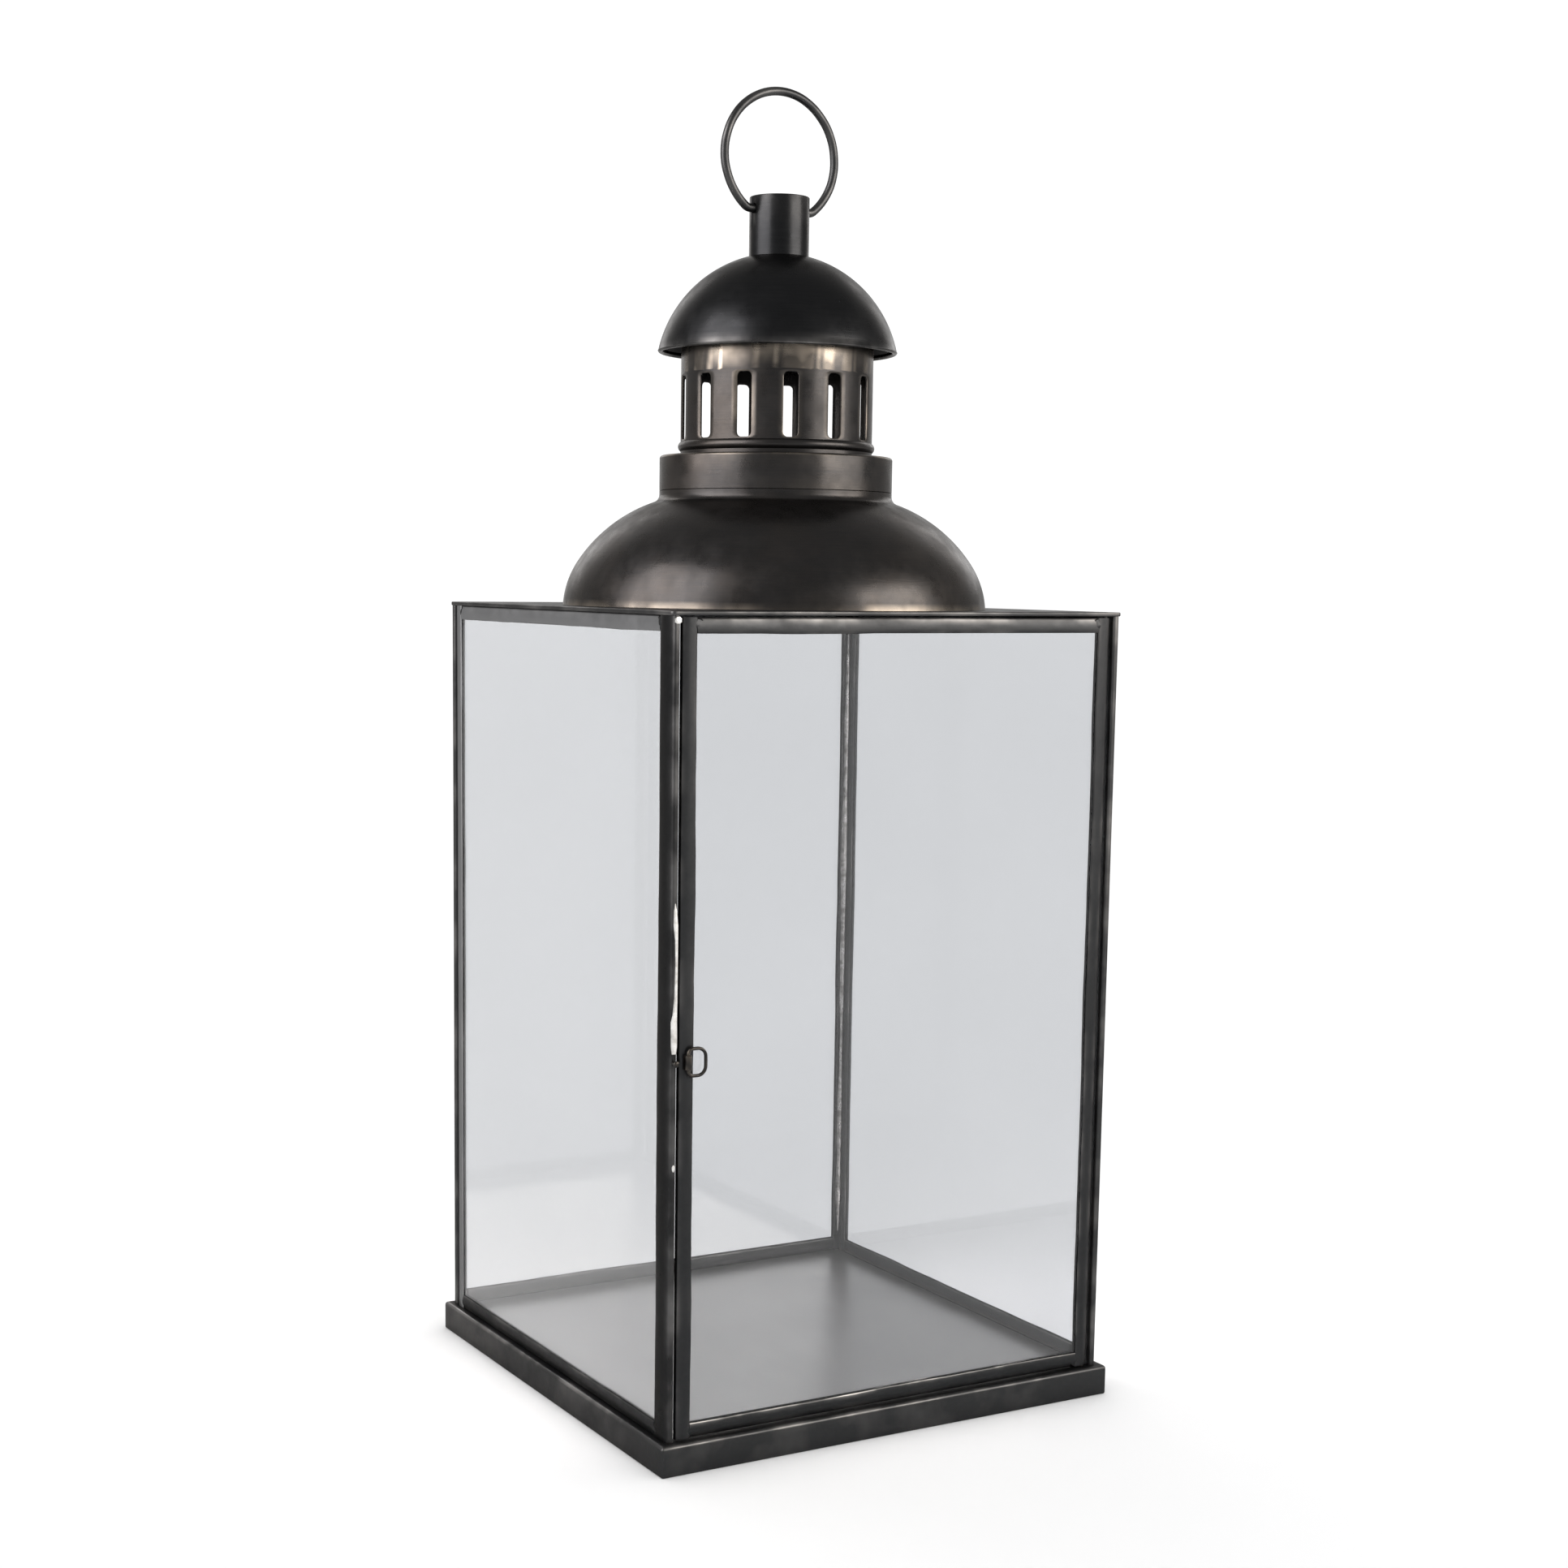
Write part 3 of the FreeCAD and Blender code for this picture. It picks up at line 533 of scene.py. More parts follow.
# Bright solder on the left jamb's front edge, partly real solder and partly painted highlight: the glint down
# the edge, the glint at its top corner and one small bright spot. Each station is its height, how far it lies
# to the right of the middle, and its half width, in mm.
RUNS = {
    "jamb_solder_glint_streak": ((121, 0.1, 0.7), (123, 0.1, 1.0), (130, 0.0, 1.0), (132, 0.25, 0.75),
                           (137, 0.55, 0.5), (146, 0.65, 0.42), (153, 0.6, 0.5), (157, 0.35, 0.75),
                           (161, 0.2, 0.5), (163, 0.1, 0.1)),
    "jamb_solder_glint_top": ((239.2, 0.3, 0.5), (239.6, 0.3, 1.1), (240.6, 0.3, 1.1), (241.0, 0.3, 0.5)),
    "jamb_solder_glint_drop": ((87.6, 0.2, 0.15), (88.1, 0.2, 0.45), (89.1, 0.2, 0.5), (89.6, 0.2, 0.15)),
}
RUN_HEIGHT = 0.2                # the most a run stands up, in mm; a narrow one stands up less
RUN_SINK = 0.02 * MM

jamb_low, jamb_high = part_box("left_jamb")
jamb_middle = (jamb_low.x + jamb_high.x) / 2
for name, marks in RUNS.items():
    stations = []
    for up, aside, half in marks:
        spot = (jamb_middle + aside * MM, jamb_low.y + RUN_SINK, up * MM)
        stations.append((spot, half * MM, min(RUN_HEIGHT, 0.06 + half * 0.16) * MM))
    run = solder_run(name, stations, (-1, 0, 0), (0, -1, 0), solder_and_glint)
    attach(run, "lantern_body")

# The panels are joined to each other by a duller run of solder down each inner back corner.
SEAM_LOW, SEAM_HIGH, SEAM_STEPS = 16.0, 236.0, 60
SEAM_SINK = 0.06 * MM
BACK_CORNERS = ((-1, "left", "left_rear_stile", "back_left_stile"),
                (1, "right", "right_rear_stile", "back_right_stile"))
for side, corner, first, second in BACK_CORNERS:
    corner_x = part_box(first)[0 if side > 0 else 1].x
    corner_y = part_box(second)[0].y
    thick = hand_wave()
    rings = []
    for step in range(SEAM_STEPS + 1):
        up = (SEAM_LOW + (SEAM_HIGH - SEAM_LOW) * step / SEAM_STEPS) * MM
        taper = min(1, step / 4 + 0.15, (SEAM_STEPS - step) / 4 + 0.15)
        leg = (1.05 + 0.45 * thick(up)) * taper * MM
        inner_x, inner_y = corner_x + side * SEAM_SINK, corner_y + SEAM_SINK
        ring = [(inner_x, inner_y, up), (inner_x - side * leg, inner_y, up)]
        ring += [(inner_x - side * leg * (1 - share) ** 1.4, inner_y - leg * share ** 1.4, up)
                 for share in (0.2, 0.4, 0.6, 0.8)]
        rings.append(ring + [(inner_x, inner_y - leg, up)])
    seam = solid(f"{corner}_corner_solder", rings, dull_solder)
    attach(seam, "lantern_body")


# ----------------------------------------------
# Door
# The front panel is made like the others and hangs on a steel rod, run through its right strip into
# the plinth and the roof, so the door stands clear of its neighbours all round.
# ----------------------------------------------

def drawn_wire(name):
    """Steel wire, darkened with the rest of the lantern and a little uneven in tone."""
    material, shader = finish_named(name, (0.045, 0.042, 0.040), 1.0, 0.3)
    place = node(material, "ShaderNodeTexCoord").outputs["Object"]
    clouds = noise(material, place, 260.0, 3.0)
    tone = mixed(material, spread(material, clouds, 0.4, 0.7), (0.028, 0.027, 0.026), (0.075, 0.066, 0.056))
    material.node_tree.links.new(tone, shader.inputs["Base Color"])
    dull = spread(material, clouds, 0.3, 0.7, 0.24, 0.42)
    material.node_tree.links.new(dull, shader.inputs["Roughness"])
    roughened(material, shader, clouds, 0.15, 0.05 * MM)
    return material


dark_wire = drawn_wire("dark_wire_steel")

# Each strip: its node, the way to the glass, and how worn its outer edge and its lips are. The high settings
# on the top rail's outer edge and on the bottom rail's lip, both upper edges, are a painted highlight along
# them as well as wear. The hinge stile's higher settings paint it lighter than the latch stile.
DOOR_STRIPS = (
    ("door_latch_stile", (1, 0, 0), (0.7, 0.6)),
    ("door_hinge_stile", (-1, 0, 0), (1.5, 1.0)),
    ("door_bottom_rail", (0, 0, 1), (1.0, 3.5)),
    ("door_top_rail", (0, 0, -1), (3.0, 1.0)),
)
FRONT = (0, -1, 0)
for node_name, inward, wear_and_highlight in DOOR_STRIPS:
    piece = channel(f"{node_name}_strip", node_name, FRONT, inward, strip_bronze, wear_and_highlight)
    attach(piece, "door")
    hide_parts(node_name)

door_rails = ("door_top_rail", "door_bottom_rail")
door_corners = [("door_latch_stile", *door_rails, 1), ("door_hinge_stile", *door_rails, -1)]
door_spots = joint_spots(door_corners, FRONT)
door_solder = solder_pads("door_solder", door_spots, FRONT, strip_bronze)
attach(door_solder, "door")

door_pane = frame["nodes"]["door_pane"]
door_pane.material_slots[0].material = glass
door_pane.visible_shadow = False
frame["nodes"]["door_pivot_rod"].material_slots[0].material = dark_wire


# ----------------------------------------------
# Latch
# A bent wire loop turns in a rolled sleeve soldered to the door's left strip, and drops over a small
# headed stud on the side panel. At rest it is swung back over the glass.
# ----------------------------------------------

def wire_rings(path, radius, closed=False, around=14):
    """Round sections carried along a path of points."""
    spots = [Vector(point) for point in path]
    count = len(spots)
    rings = []
    side = None
    for index, spot in enumerate(spots):
        before = spots[index - 1] if closed or index else spot
        after = spots[(index + 1) % count] if closed or index < count - 1 else spot
        ahead = (after - before).normalized()
        if side is None:
            side = ahead.orthogonal().normalized()
        side = (side - ahead * side.dot(ahead)).normalized()
        up = ahead.cross(side)
        turns = [2 * math.pi * step / around for step in range(around)]
        rings.append([tuple(spot + (side * math.cos(turn) + up * math.sin(turn)) * radius) for turn in turns])
    return rings


LOOP_CORNER = 1.6 * MM          # bends of the wire beside the sleeve
LOOP_NOSE = 2.56 * MM           # and the wider ones at its free end
SLEEVE_WALL = 0.55 * MM
SLEEVE_LIP = 0.18 * MM
SLEEVE_FLAT = 0.3               # sine of the turn from which the sleeve lies flat on the door
SLEEVE_STEPS = 28
STUD_SHANK = 0.6 * MM
STUD_HEAD_HEIGHT = 0.6 * MM
STUD_STEPS = 24

loop_low, loop_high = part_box("latch_loop")
wire = (loop_high.y - loop_low.y) / 2
loop_y = (loop_high.y + loop_low.y) / 2
left, right = loop_low.x + wire, loop_high.x - wire
low, high = loop_low.z + wire, loop_high.z - wire
route = arc((left + LOOP_CORNER, low + LOOP_CORNER), LOOP_CORNER, 180, 270, 8)
route += arc((right - LOOP_NOSE, low + LOOP_NOSE), LOOP_NOSE, 270, 360, 10)
route += arc((right - LOOP_NOSE, high - LOOP_NOSE), LOOP_NOSE, 0, 90, 10)
route += arc((left + LOOP_CORNER, high - LOOP_CORNER), LOOP_CORNER, 90, 180, 8)
loop_path = [(x, loop_y, z) for x, z in route]
loop = solid("latch_wire_loop", wire_rings(loop_path, wire, True), dark_wire, looped=True)
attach(loop, "latch")
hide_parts("latch_loop")

sleeve_low, sleeve_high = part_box("latch_sleeve")
sleeve_radius = (sleeve_high.x - sleeve_low.x) / 2
sleeve_x, sleeve_y = (sleeve_high.x + sleeve_low.x) / 2, sleeve_low.y + sleeve_radius
bore_in, bore_out = sleeve_radius - SLEEVE_WALL, sleeve_radius - SLEEVE_WALL + SLEEVE_LIP
shoulder = sleeve_radius - SLEEVE_LIP
foot_lip, head_lip = sleeve_low.z + SLEEVE_LIP, sleeve_high.z - SLEEVE_LIP
sleeve_outline = [(bore_in, foot_lip), (bore_out, sleeve_low.z), (shoulder, sleeve_low.z),
                  (sleeve_radius, foot_lip), (sleeve_radius, head_lip), (shoulder, sleeve_high.z),
                  (bore_out, sleeve_high.z), (bore_in, head_lip)]
sleeve_rings = []
for step in range(SLEEVE_STEPS):
    turn = 2 * math.pi * step / SLEEVE_STEPS
    ring = []
    for radius, up in sleeve_outline:
        if radius >= shoulder and math.sin(turn) > SLEEVE_FLAT:
            ring.append((sleeve_x + sleeve_radius * math.cos(turn), sleeve_high.y, up))
        else:
            ring.append((sleeve_x + radius * math.cos(turn), sleeve_y + radius * math.sin(turn), up))
    sleeve_rings.append(ring)
sleeve = solid("latch_rolled_sleeve", sleeve_rings, dark_wire, looped=True)
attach(sleeve, "door")
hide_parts("latch_sleeve")

stud_low, stud_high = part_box("latch_stud")
stud_head = (stud_high.x - stud_low.x) / 2
stud_x, stud_z = (stud_high.x + stud_low.x) / 2, (stud_high.z + stud_low.z) / 2
stud_length = stud_high.y - stud_low.y
stud_profile = [(STUD_SHANK, 0.0), (STUD_SHANK, stud_length - STUD_HEAD_HEIGHT),
                (stud_head, stud_length - STUD_HEAD_HEIGHT * 0.85)]
stud_profile += [(stud_head * math.cos(math.radians(turn)),
                  stud_length - STUD_HEAD_HEIGHT * 0.55 * (1 - math.sin(math.radians(turn))))
                 for turn in (0, 25, 50, 72)]
stud_rings = []
for radius, out in stud_profile:
    turns = [2 * math.pi * step / STUD_STEPS for step in range(STUD_STEPS)]
    stud_rings.append([(stud_x + radius * math.cos(turn), stud_high.y - out, stud_z + radius * math.sin(turn))
                       for turn in turns])
stud = solid("latch_headed_stud", stud_rings, dark_wire)
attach(stud, "lantern_body")
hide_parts("latch_stud")


# ----------------------------------------------
# Roof
# A flat square of sheet with a round hole under the dome closes the box. Its cut edge is rounded
# with a file and stands just outside the strips.
# ----------------------------------------------

ROOF_EDGE = 0.35 * MM           # rounding of the filed edge
ROOF_CORNER = 1.2 * MM          # and of the corners, in plan
ROOF_HOLE = 61.0 * MM
ROOF_STEPS = 192
NEAR_CORNER = (-0.6, -0.4, -0.2, 0.2, 0.4, 0.6)     # closer sections beside a corner, in degrees
ROOF_RUB = [0.0] * 4 + [0.3, 0.8, 0.9, 0.7, 0.4] + [0.4, 0.6, 0.5, 0.1] + [0.0]

roof_low, roof_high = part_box("roof_plate")


def square_reach(turn, half, corner):
    """Distance from the centre to the edge of a square with rounded corners, in the direction turn."""
    across, aside = abs(math.cos(turn)), abs(math.sin(turn))
    reach = half / max(across, aside)
    inner = half - corner
    if min(across, aside) * reach > inner:
        along = inner * (across + aside)
        return along + math.sqrt(along ** 2 - 2 * inner ** 2 + corner ** 2)
    return reach


def on_axis(radius, turn, up):
    """A point at a radius and a turn round the lantern's upright axis."""
    return (radius * math.cos(turn), radius * math.sin(turn), up)


roof_turns = [2 * math.pi * step / ROOF_STEPS for step in range(ROOF_STEPS)]
roof_turns += [math.radians(45 + 90 * quarter + away) for quarter in range(4) for away in NEAR_CORNER]
roof_rings = []
for turn in sorted(roof_turns):
    edge = square_reach(turn, roof_high.x, ROOF_CORNER) - ROOF_EDGE
    outline = [(ROOF_HOLE, roof_low.z), (ROOF_HOLE, roof_high.z)]
    outline += [(ROOF_HOLE + (edge - ROOF_HOLE) * share, roof_high.z) for share in (0.35, 0.7)]
    outline += arc((edge, roof_high.z - ROOF_EDGE), ROOF_EDGE, 90, 0, 4)
    outline += arc((edge, roof_low.z + ROOF_EDGE), ROOF_EDGE, 0, -90, 3)
    outline += [((ROOF_HOLE + edge) / 2, roof_low.z)]
    roof_rings.append([on_axis(radius, turn, up) for radius, up in outline])
roof = solid("roof_sheet", roof_rings, strip_bronze, ROOF_RUB, looped=True)
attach(roof, "lantern_body")
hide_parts("roof_plate")


# ----------------------------------------------
# Dome
# Spun from one disc over a former: a tight arc at the foot, a flatter crown, a hollow throat and a
# short upstand that the collar sits on. The spinning leaves faint rings in the finish.
# ----------------------------------------------

SPIN_STEPS = 160


def spun(name, outline, material, rub_and_highlight):
    """Turn a closed half outline of (radius, height) points once round the lantern's axis."""
    turns = [2 * math.pi * step / SPIN_STEPS for step in range(SPIN_STEPS)]
    rings = [[on_axis(radius, turn, up) for radius, up in outline] for turn in turns]
    return solid(name, rings, material, rub_and_highlight, looped=True)


LATHE = (0.12, 0.12, 3.0)       # brush marks drawn out round the axis
spun_bronze = bronze("spun_bronze", LATHE, 0.30, 0.13, (0.028, 0.027, 0.027), 0.85)

SHEET = 0.8 * MM                # thickness of all the spun sheet
KNUCKLE = 28.0 * MM             # radius of the arc at the foot
KNUCKLE_DROP = 2.0 * MM         # its centre lies this far below the roof
KNUCKLE_SWEEP = 33.9            # degrees
CROWN = 46.8 * MM               # radius of the flatter arc above it
THROAT = 2.5 * MM               # and of the hollow under the collar

dome_low, dome_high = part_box("dome")
collar_low, collar_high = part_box("collar")
collar_radius = collar_high.x
knuckle = Vector((dome_high.x - math.sqrt(KNUCKLE ** 2 - KNUCKLE_DROP ** 2), dome_low.z - KNUCKLE_DROP))
sweep = math.radians(KNUCKLE_SWEEP)
crown = knuckle - (CROWN - KNUCKLE) * Vector((math.cos(sweep), math.sin(sweep)))
throat_x = collar_radius + THROAT
throat = Vector((throat_x, crown.y + math.sqrt((CROWN + THROAT) ** 2 - (throat_x - crown.x) ** 2)))
meet = math.degrees(math.atan2(throat.y - crown.y, throat.x - crown.x))


def dome_line(inset, steps):
    """The dome's side from foot to throat, at a depth below its outside."""
    foot = math.degrees(math.asin(KNUCKLE_DROP / (KNUCKLE - inset)))
    line = arc(knuckle, KNUCKLE - inset, foot, KNUCKLE_SWEEP, steps)
    line += arc(crown, CROWN - inset, KNUCKLE_SWEEP, meet, steps + 4)[1:]
    line += arc(throat, THROAT + inset, meet + 180, 180, 8)[1:]
    return line


dome_outside = dome_line(0.0, 14) + [(collar_radius, dome_high.z)]
dome_inside = [(collar_radius - SHEET, dome_high.z)] + dome_line(SHEET, 10)[::-1]
dome_rub = [0.9, 0.4] + [0.0] * (len(dome_outside) - 2) + [0.0] * len(dome_inside)
dome = spun("dome_spun", dome_outside + dome_inside, spun_bronze, dome_rub)
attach(dome, "lantern_body")
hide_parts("dome")


# ----------------------------------------------
# Collar
# A short drum of the same sheet stands on the dome's upstand. Its top is turned in to carry the
# vent, and the turned edge catches the light.
# ----------------------------------------------

COLLAR_EDGE = 0.9 * MM          # rounding of the top edge
COLLAR_SEAM = 0.22 * MM         # fine line where the collar meets the dome
VENT_RADIUS = 29.5 * MM

vent_inner = VENT_RADIUS - SHEET
collar_outline = [(collar_radius - COLLAR_SEAM, collar_low.z), (collar_radius, collar_low.z + COLLAR_SEAM),
                  (collar_radius, (collar_low.z + collar_high.z) / 2)]
collar_outline += arc((collar_radius - COLLAR_EDGE, collar_high.z - COLLAR_EDGE), COLLAR_EDGE, 0, 90, 7)
collar_outline += [(vent_inner, collar_high.z), (vent_inner, collar_high.z - SHEET),
                   (collar_radius - SHEET, collar_high.z - SHEET), (collar_radius - SHEET, collar_low.z)]
collar_rub = [0.3, 0.1, 0.0] + [0.1, 0.4, 0.7, 0.9, 0.9, 0.5, 0.3, 0.1] + [0.0] * 4
collar = spun("collar_drum", collar_outline, spun_bronze, collar_rub)
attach(collar, "lantern_body")
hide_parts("collar")


# ----------------------------------------------
# Vent
# A cylinder of sheet with thirteen upright slots lets the hot air out. The slots are punched, which
# rounds their edges in a little, and a bead rolled round the foot stiffens it.
# ----------------------------------------------

SLOT_COUNT = 13
SLOT_START = -22.1              # degrees from the door's side to the first slot
SLOT_HALF = 2.3 * MM            # half its width
SLOT_ROUND = 1.4 * MM
SLOT_SILL = 4.7 * MM            # from the vent's foot to the slots
SLOT_HEIGHT = 19.1 * MM
SLOT_TURN_IN = 0.3 * MM         # how wide the rounded edge is, and how far it sinks
SLOT_SINK = 0.22 * MM
BEAD_SILL = 1.3 * MM            # from the vent's foot to the bead
BEAD_HEIGHT = 2.9 * MM
BEAD_PROUD = 0.8 * MM
FIELD_HEAD = 2.5                # wall above a slot, as a multiple of the wall below it
SLOT_RUB = 0.8
HEAD_RUB = 2.2
VENT_CREASE = 50.0

vent_low, vent_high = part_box("vent_cylinder")
slot_low = vent_low.z + SLOT_SILL
slot_high = slot_low + SLOT_HEIGHT
field_half = math.pi * VENT_RADIUS / SLOT_COUNT
field_low = vent_low.z + BEAD_SILL + BEAD_HEIGHT + 0.1 * MM
field_high = slot_high + (slot_low - field_low) * FIELD_HEAD


def slot_edge(grow):
    """Points round a slot, anticlockwise from the middle of its foot, grown outwards by an amount."""
    half = SLOT_HALF + grow
    low, high = slot_low - grow, slot_high + grow
    radius = SLOT_ROUND + grow
    line = [(half - radius) * share for share in (0.0, 0.5)]
    points = [(x, low) for x in line]
    points += arc((half - radius, low + radius), radius, 270, 360, 4)
    points += [(half, low + radius + (high - low - 2 * radius) * share) for share in (0.2, 0.4, 0.6, 0.8)]
    points += arc((half - radius, high - radius), radius, 0, 90, 4)
    points += [((half - radius) * 0.5, high), (0.0, high)]
    return points + [(-x, z) for x, z in points[-2:0:-1]]


def field_edge():
    """The same number of points round the field of wall that a slot stands in."""
    foot = [(field_half * share, field_low) for share in (0.0, 0.25, 0.5, 0.7, 0.86)]
    side = [(field_half, field_low + (field_high - field_low) * share)
            for share in (0, 0.07, 0.22, 0.4, 0.6, 0.78, 0.93, 1)]
    top = [(across, field_high) for across, up in foot[::-1]]
    points = foot + side + top
    return points + [(-x, z) for x, z in points[-2:0:-1]]


inner_edge, outer_edge = slot_edge(0.0), field_edge()
turned_edge = slot_edge(SLOT_TURN_IN)
vent_shape = bmesh.new()
rub_layer = vent_shape.verts.layers.float.new("rub_and_highlight")
slot_turns = [math.radians(SLOT_START - 90) + 2 * math.pi * index / SLOT_COUNT for index in range(SLOT_COUNT)]


def wall_row(edge, turn, radius):
    """A row of the slot's or the field's edge points, bent round the vent at one slot."""
    return [vent_shape.verts.new(on_axis(radius, turn + across / VENT_RADIUS, up)) for across, up in edge]


def bridge(first, second):
    """Close the wall between two rows of points that run all the way round."""
    for index in range(len(first)):
        after = (index + 1) % len(first)
        vent_shape.faces.new((first[index], first[after], second[after], second[index]))


for turn in slot_turns:
    skins = []
    for radius, sink in ((VENT_RADIUS, -SLOT_SINK), (vent_inner, SLOT_SINK)):
        rows = [wall_row(inner_edge, turn, radius + sink), wall_row(turned_edge, turn, radius)]
        for share in (0.35, 0.7, 1.0):
            between = [(near[0] + (far[0] - near[0]) * share, near[1] + (far[1] - near[1]) * share)
                       for near, far in zip(turned_edge, outer_edge)]
            rows.append(wall_row(between, turn, radius))
        for first, second in zip(rows, rows[1:]):
            bridge(first, second)
        skins.append(rows)
    for vert in skins[0][0] + skins[0][1]:
        vert[rub_layer] = SLOT_RUB
    bridge(skins[0][0], skins[1][0])

foot_spots = [across / VENT_RADIUS for across, up in outer_edge if abs(up - field_low) < 1e-9]
ring_spots = sorted({round((turn + spot) % (2 * math.pi), 7) for turn in slot_turns for spot in foot_spots})
bead_radius = ((BEAD_HEIGHT / 2) ** 2 + BEAD_PROUD ** 2) / (2 * BEAD_PROUD)
bead_centre = (VENT_RADIUS + BEAD_PROUD - bead_radius, vent_low.z + BEAD_SILL + BEAD_HEIGHT / 2)
bead_half = math.degrees(math.asin(BEAD_HEIGHT / 2 / bead_radius))
foot_line = [(vent_inner, field_low), (vent_inner, vent_low.z), (VENT_RADIUS, vent_low.z)]
foot_line += arc(bead_centre, bead_radius, -bead_half, bead_half, 8) + [(VENT_RADIUS, field_low)]
head_line = [(VENT_RADIUS, field_high), (VENT_RADIUS, (field_high + vent_high.z) / 2),
             (VENT_RADIUS, vent_high.z - 0.5 * MM), (vent_inner, vent_high.z), (vent_inner, field_high)]
for line, rubbed, rub_and_highlight in ((foot_line, 0, 0.0), (head_line, 3, HEAD_RUB)):
    columns = [[vent_shape.verts.new(on_axis(radius, spot, up)) for radius, up in line]
               for spot in ring_spots]
    for column in columns:
        for vert in column[:rubbed]:
            vert[rub_layer] = rub_and_highlight
    for here, there in zip(columns, columns[1:] + columns[:1]):
        for index in range(len(line) - 1):
            vent_shape.faces.new((here[index], there[index], there[index + 1], here[index + 1]))
bmesh.ops.remove_doubles(vent_shape, verts=vent_shape.verts, dist=0.002 * MM)
bmesh.ops.recalc_face_normals(vent_shape, faces=vent_shape.faces)
vent_mesh = bpy.data.meshes.new("vent_slotted")
vent_shape.to_mesh(vent_mesh)
vent_shape.free()
vent_mesh.shade_smooth()
vent_mesh.set_sharp_from_angle(angle=math.radians(VENT_CREASE))
vent_mesh.materials.append(spun_bronze)
vent = bpy.data.objects.new("vent_slotted", vent_mesh)
bpy.context.scene.collection.objects.link(vent)
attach(vent, "lantern_body")
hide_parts("vent_cylinder")


# ----------------------------------------------
# Cap
# A spun part of a sphere keeps the rain off the vent. Its rim is rolled under into a narrow hem,
# rubbed along the bottom. It and the neck above it take a blacker copy of the bronze, which is painted shade
# that dims their highlights.
# ----------------------------------------------

CAP_LIFT = 7.4 * MM             # the sphere's centre lies this far below the rim
HEM = 1.6 * MM                  # thickness of the rolled rim
HEM_RUB = [0.4, 0.6, 0.8, 0.9, 1.0, 1.0, 1.0, 1.0, 0.8]

# A blacker copy of the spun bronze: painted shade that keeps the highlights on the cap and the neck dim.
painted_shade_cap_bronze = bronze("painted_shade_cap_bronze", LATHE, 0.30, 0.05, (0.014, 0.0145, 0.0155), 0.1)

cap_low, cap_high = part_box("cap")
cap_centre = (0.0, cap_low.z - CAP_LIFT)
cap_radius = math.hypot(cap_high.x, CAP_LIFT)
neck_low, neck_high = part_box("neck_tube")
neck_radius = neck_high.y
rim_angle = math.degrees(math.asin((CAP_LIFT + HEM * 0.5) / cap_radius))
top_angle = math.degrees(math.acos(neck_radius / cap_radius))
under_radius = cap_radius - SHEET
under_rim = math.degrees(math.asin((CAP_LIFT + HEM) / under_radius))
under_top = math.degrees(math.acos(neck_radius / under_radius))
hem_centre = (cap_high.x - HEM * 0.5, cap_low.z + HEM * 0.5)
cap_outline = arc(cap_centre, cap_radius, rim_angle, top_angle, 26)
cap_under = arc(cap_centre, under_radius, under_top, under_rim, 18)
hem = arc(hem_centre, HEM * 0.5, 180, 345, 8)
cap_rub = [0.5, 0.1] + [0.0] * (len(cap_outline) - 2 + len(cap_under)) + HEM_RUB
cap = spun("cap_spun", cap_outline + cap_under + hem, painted_shade_cap_bronze, cap_rub)
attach(cap, "lantern_body")
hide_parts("cap")


# ----------------------------------------------
# Neck
# A short piece of tube stands through the cap and carries the handle. It is drilled across for the
# wire's two ends, and its cut rim is broken with a file.
# ----------------------------------------------

NECK_WALL = 1.0 * MM
NECK_RIM = 0.25 * MM            # rounding of the cut rim
HOLE_PLAY = 0.12 * MM           # room round the wire
NECK_RUB = [0.0, 0.0] + [0.4, 0.9, 0.9, 0.9] * 2 + [0.0]

ring_low, ring_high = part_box("ring_handle")
handle_axis = next(joint for joint in frame["joints"] if joint["name"] == "handle_swing")["pos_m"][2]
ring_wire = (ring_high.y - ring_low.y) / 2
bore = neck_radius - NECK_WALL
neck_outline = [(neck_radius, neck_low.z), (neck_radius, (neck_low.z + neck_high.z) / 2)]
neck_outline += arc((neck_radius - NECK_RIM, neck_high.z - NECK_RIM), NECK_RIM, 0, 90, 3)
neck_outline += arc((bore + NECK_RIM, neck_high.z - NECK_RIM), NECK_RIM, 90, 180, 3) + [(bore, neck_low.z)]
neck = spun("neck_drilled", neck_outline, painted_shade_cap_bronze, NECK_RUB)
drill_path = [(side * neck_radius * 1.5, 0.0, handle_axis) for side in (-1, 1)]
drill = solid("neck_drill", wire_rings(drill_path, ring_wire + HOLE_PLAY, around=24), painted_shade_cap_bronze)
cut = neck.modifiers.new("cross_hole", "BOOLEAN")
cut.object = drill
cut.operation = "DIFFERENCE"
cut.solver = "EXACT"
drilled = bpy.data.meshes.new_from_object(neck.evaluated_get(bpy.context.evaluated_depsgraph_get()))
neck.modifiers.clear()
neck.data = drilled
bpy.data.objects.remove(drill)
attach(neck, "lantern_body")
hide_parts("neck_tube")


# ----------------------------------------------
# Ring handle
# One length of wire is bent round to a ring, its ends turned in through the neck, so that it swings
# over to either side. It is a little uneven, as hand-bent wire is.
# ----------------------------------------------

RING_RADIUS = 19.3 * MM         # to the middle of the wire
RING_BEND = 3.0 * MM            # radius of the two bends beside the neck
RING_SHOULDER = 1.05 * MM       # straight wire between neck and bend
RING_STEP = 4 * MM              # spacing of the path's points, as the unevenness sees it
RING_STRAY = 0.15 * MM
RING_SLACK = 0.01 * MM
RING_WAVES = ((166.71520, 0.55, 2.98642), (50.75897, 0.30, 1.47509), (20.83774, 0.15, 1.55231))
WIRE_STEPS = 18


def bent_by_hand(along):
    """The ring's unevenness: waves of these lengths in mm, shares and starts."""
    return sum(share * math.sin(2 * math.pi * along / MM / length + start)
               for length, share, start in RING_WAVES)


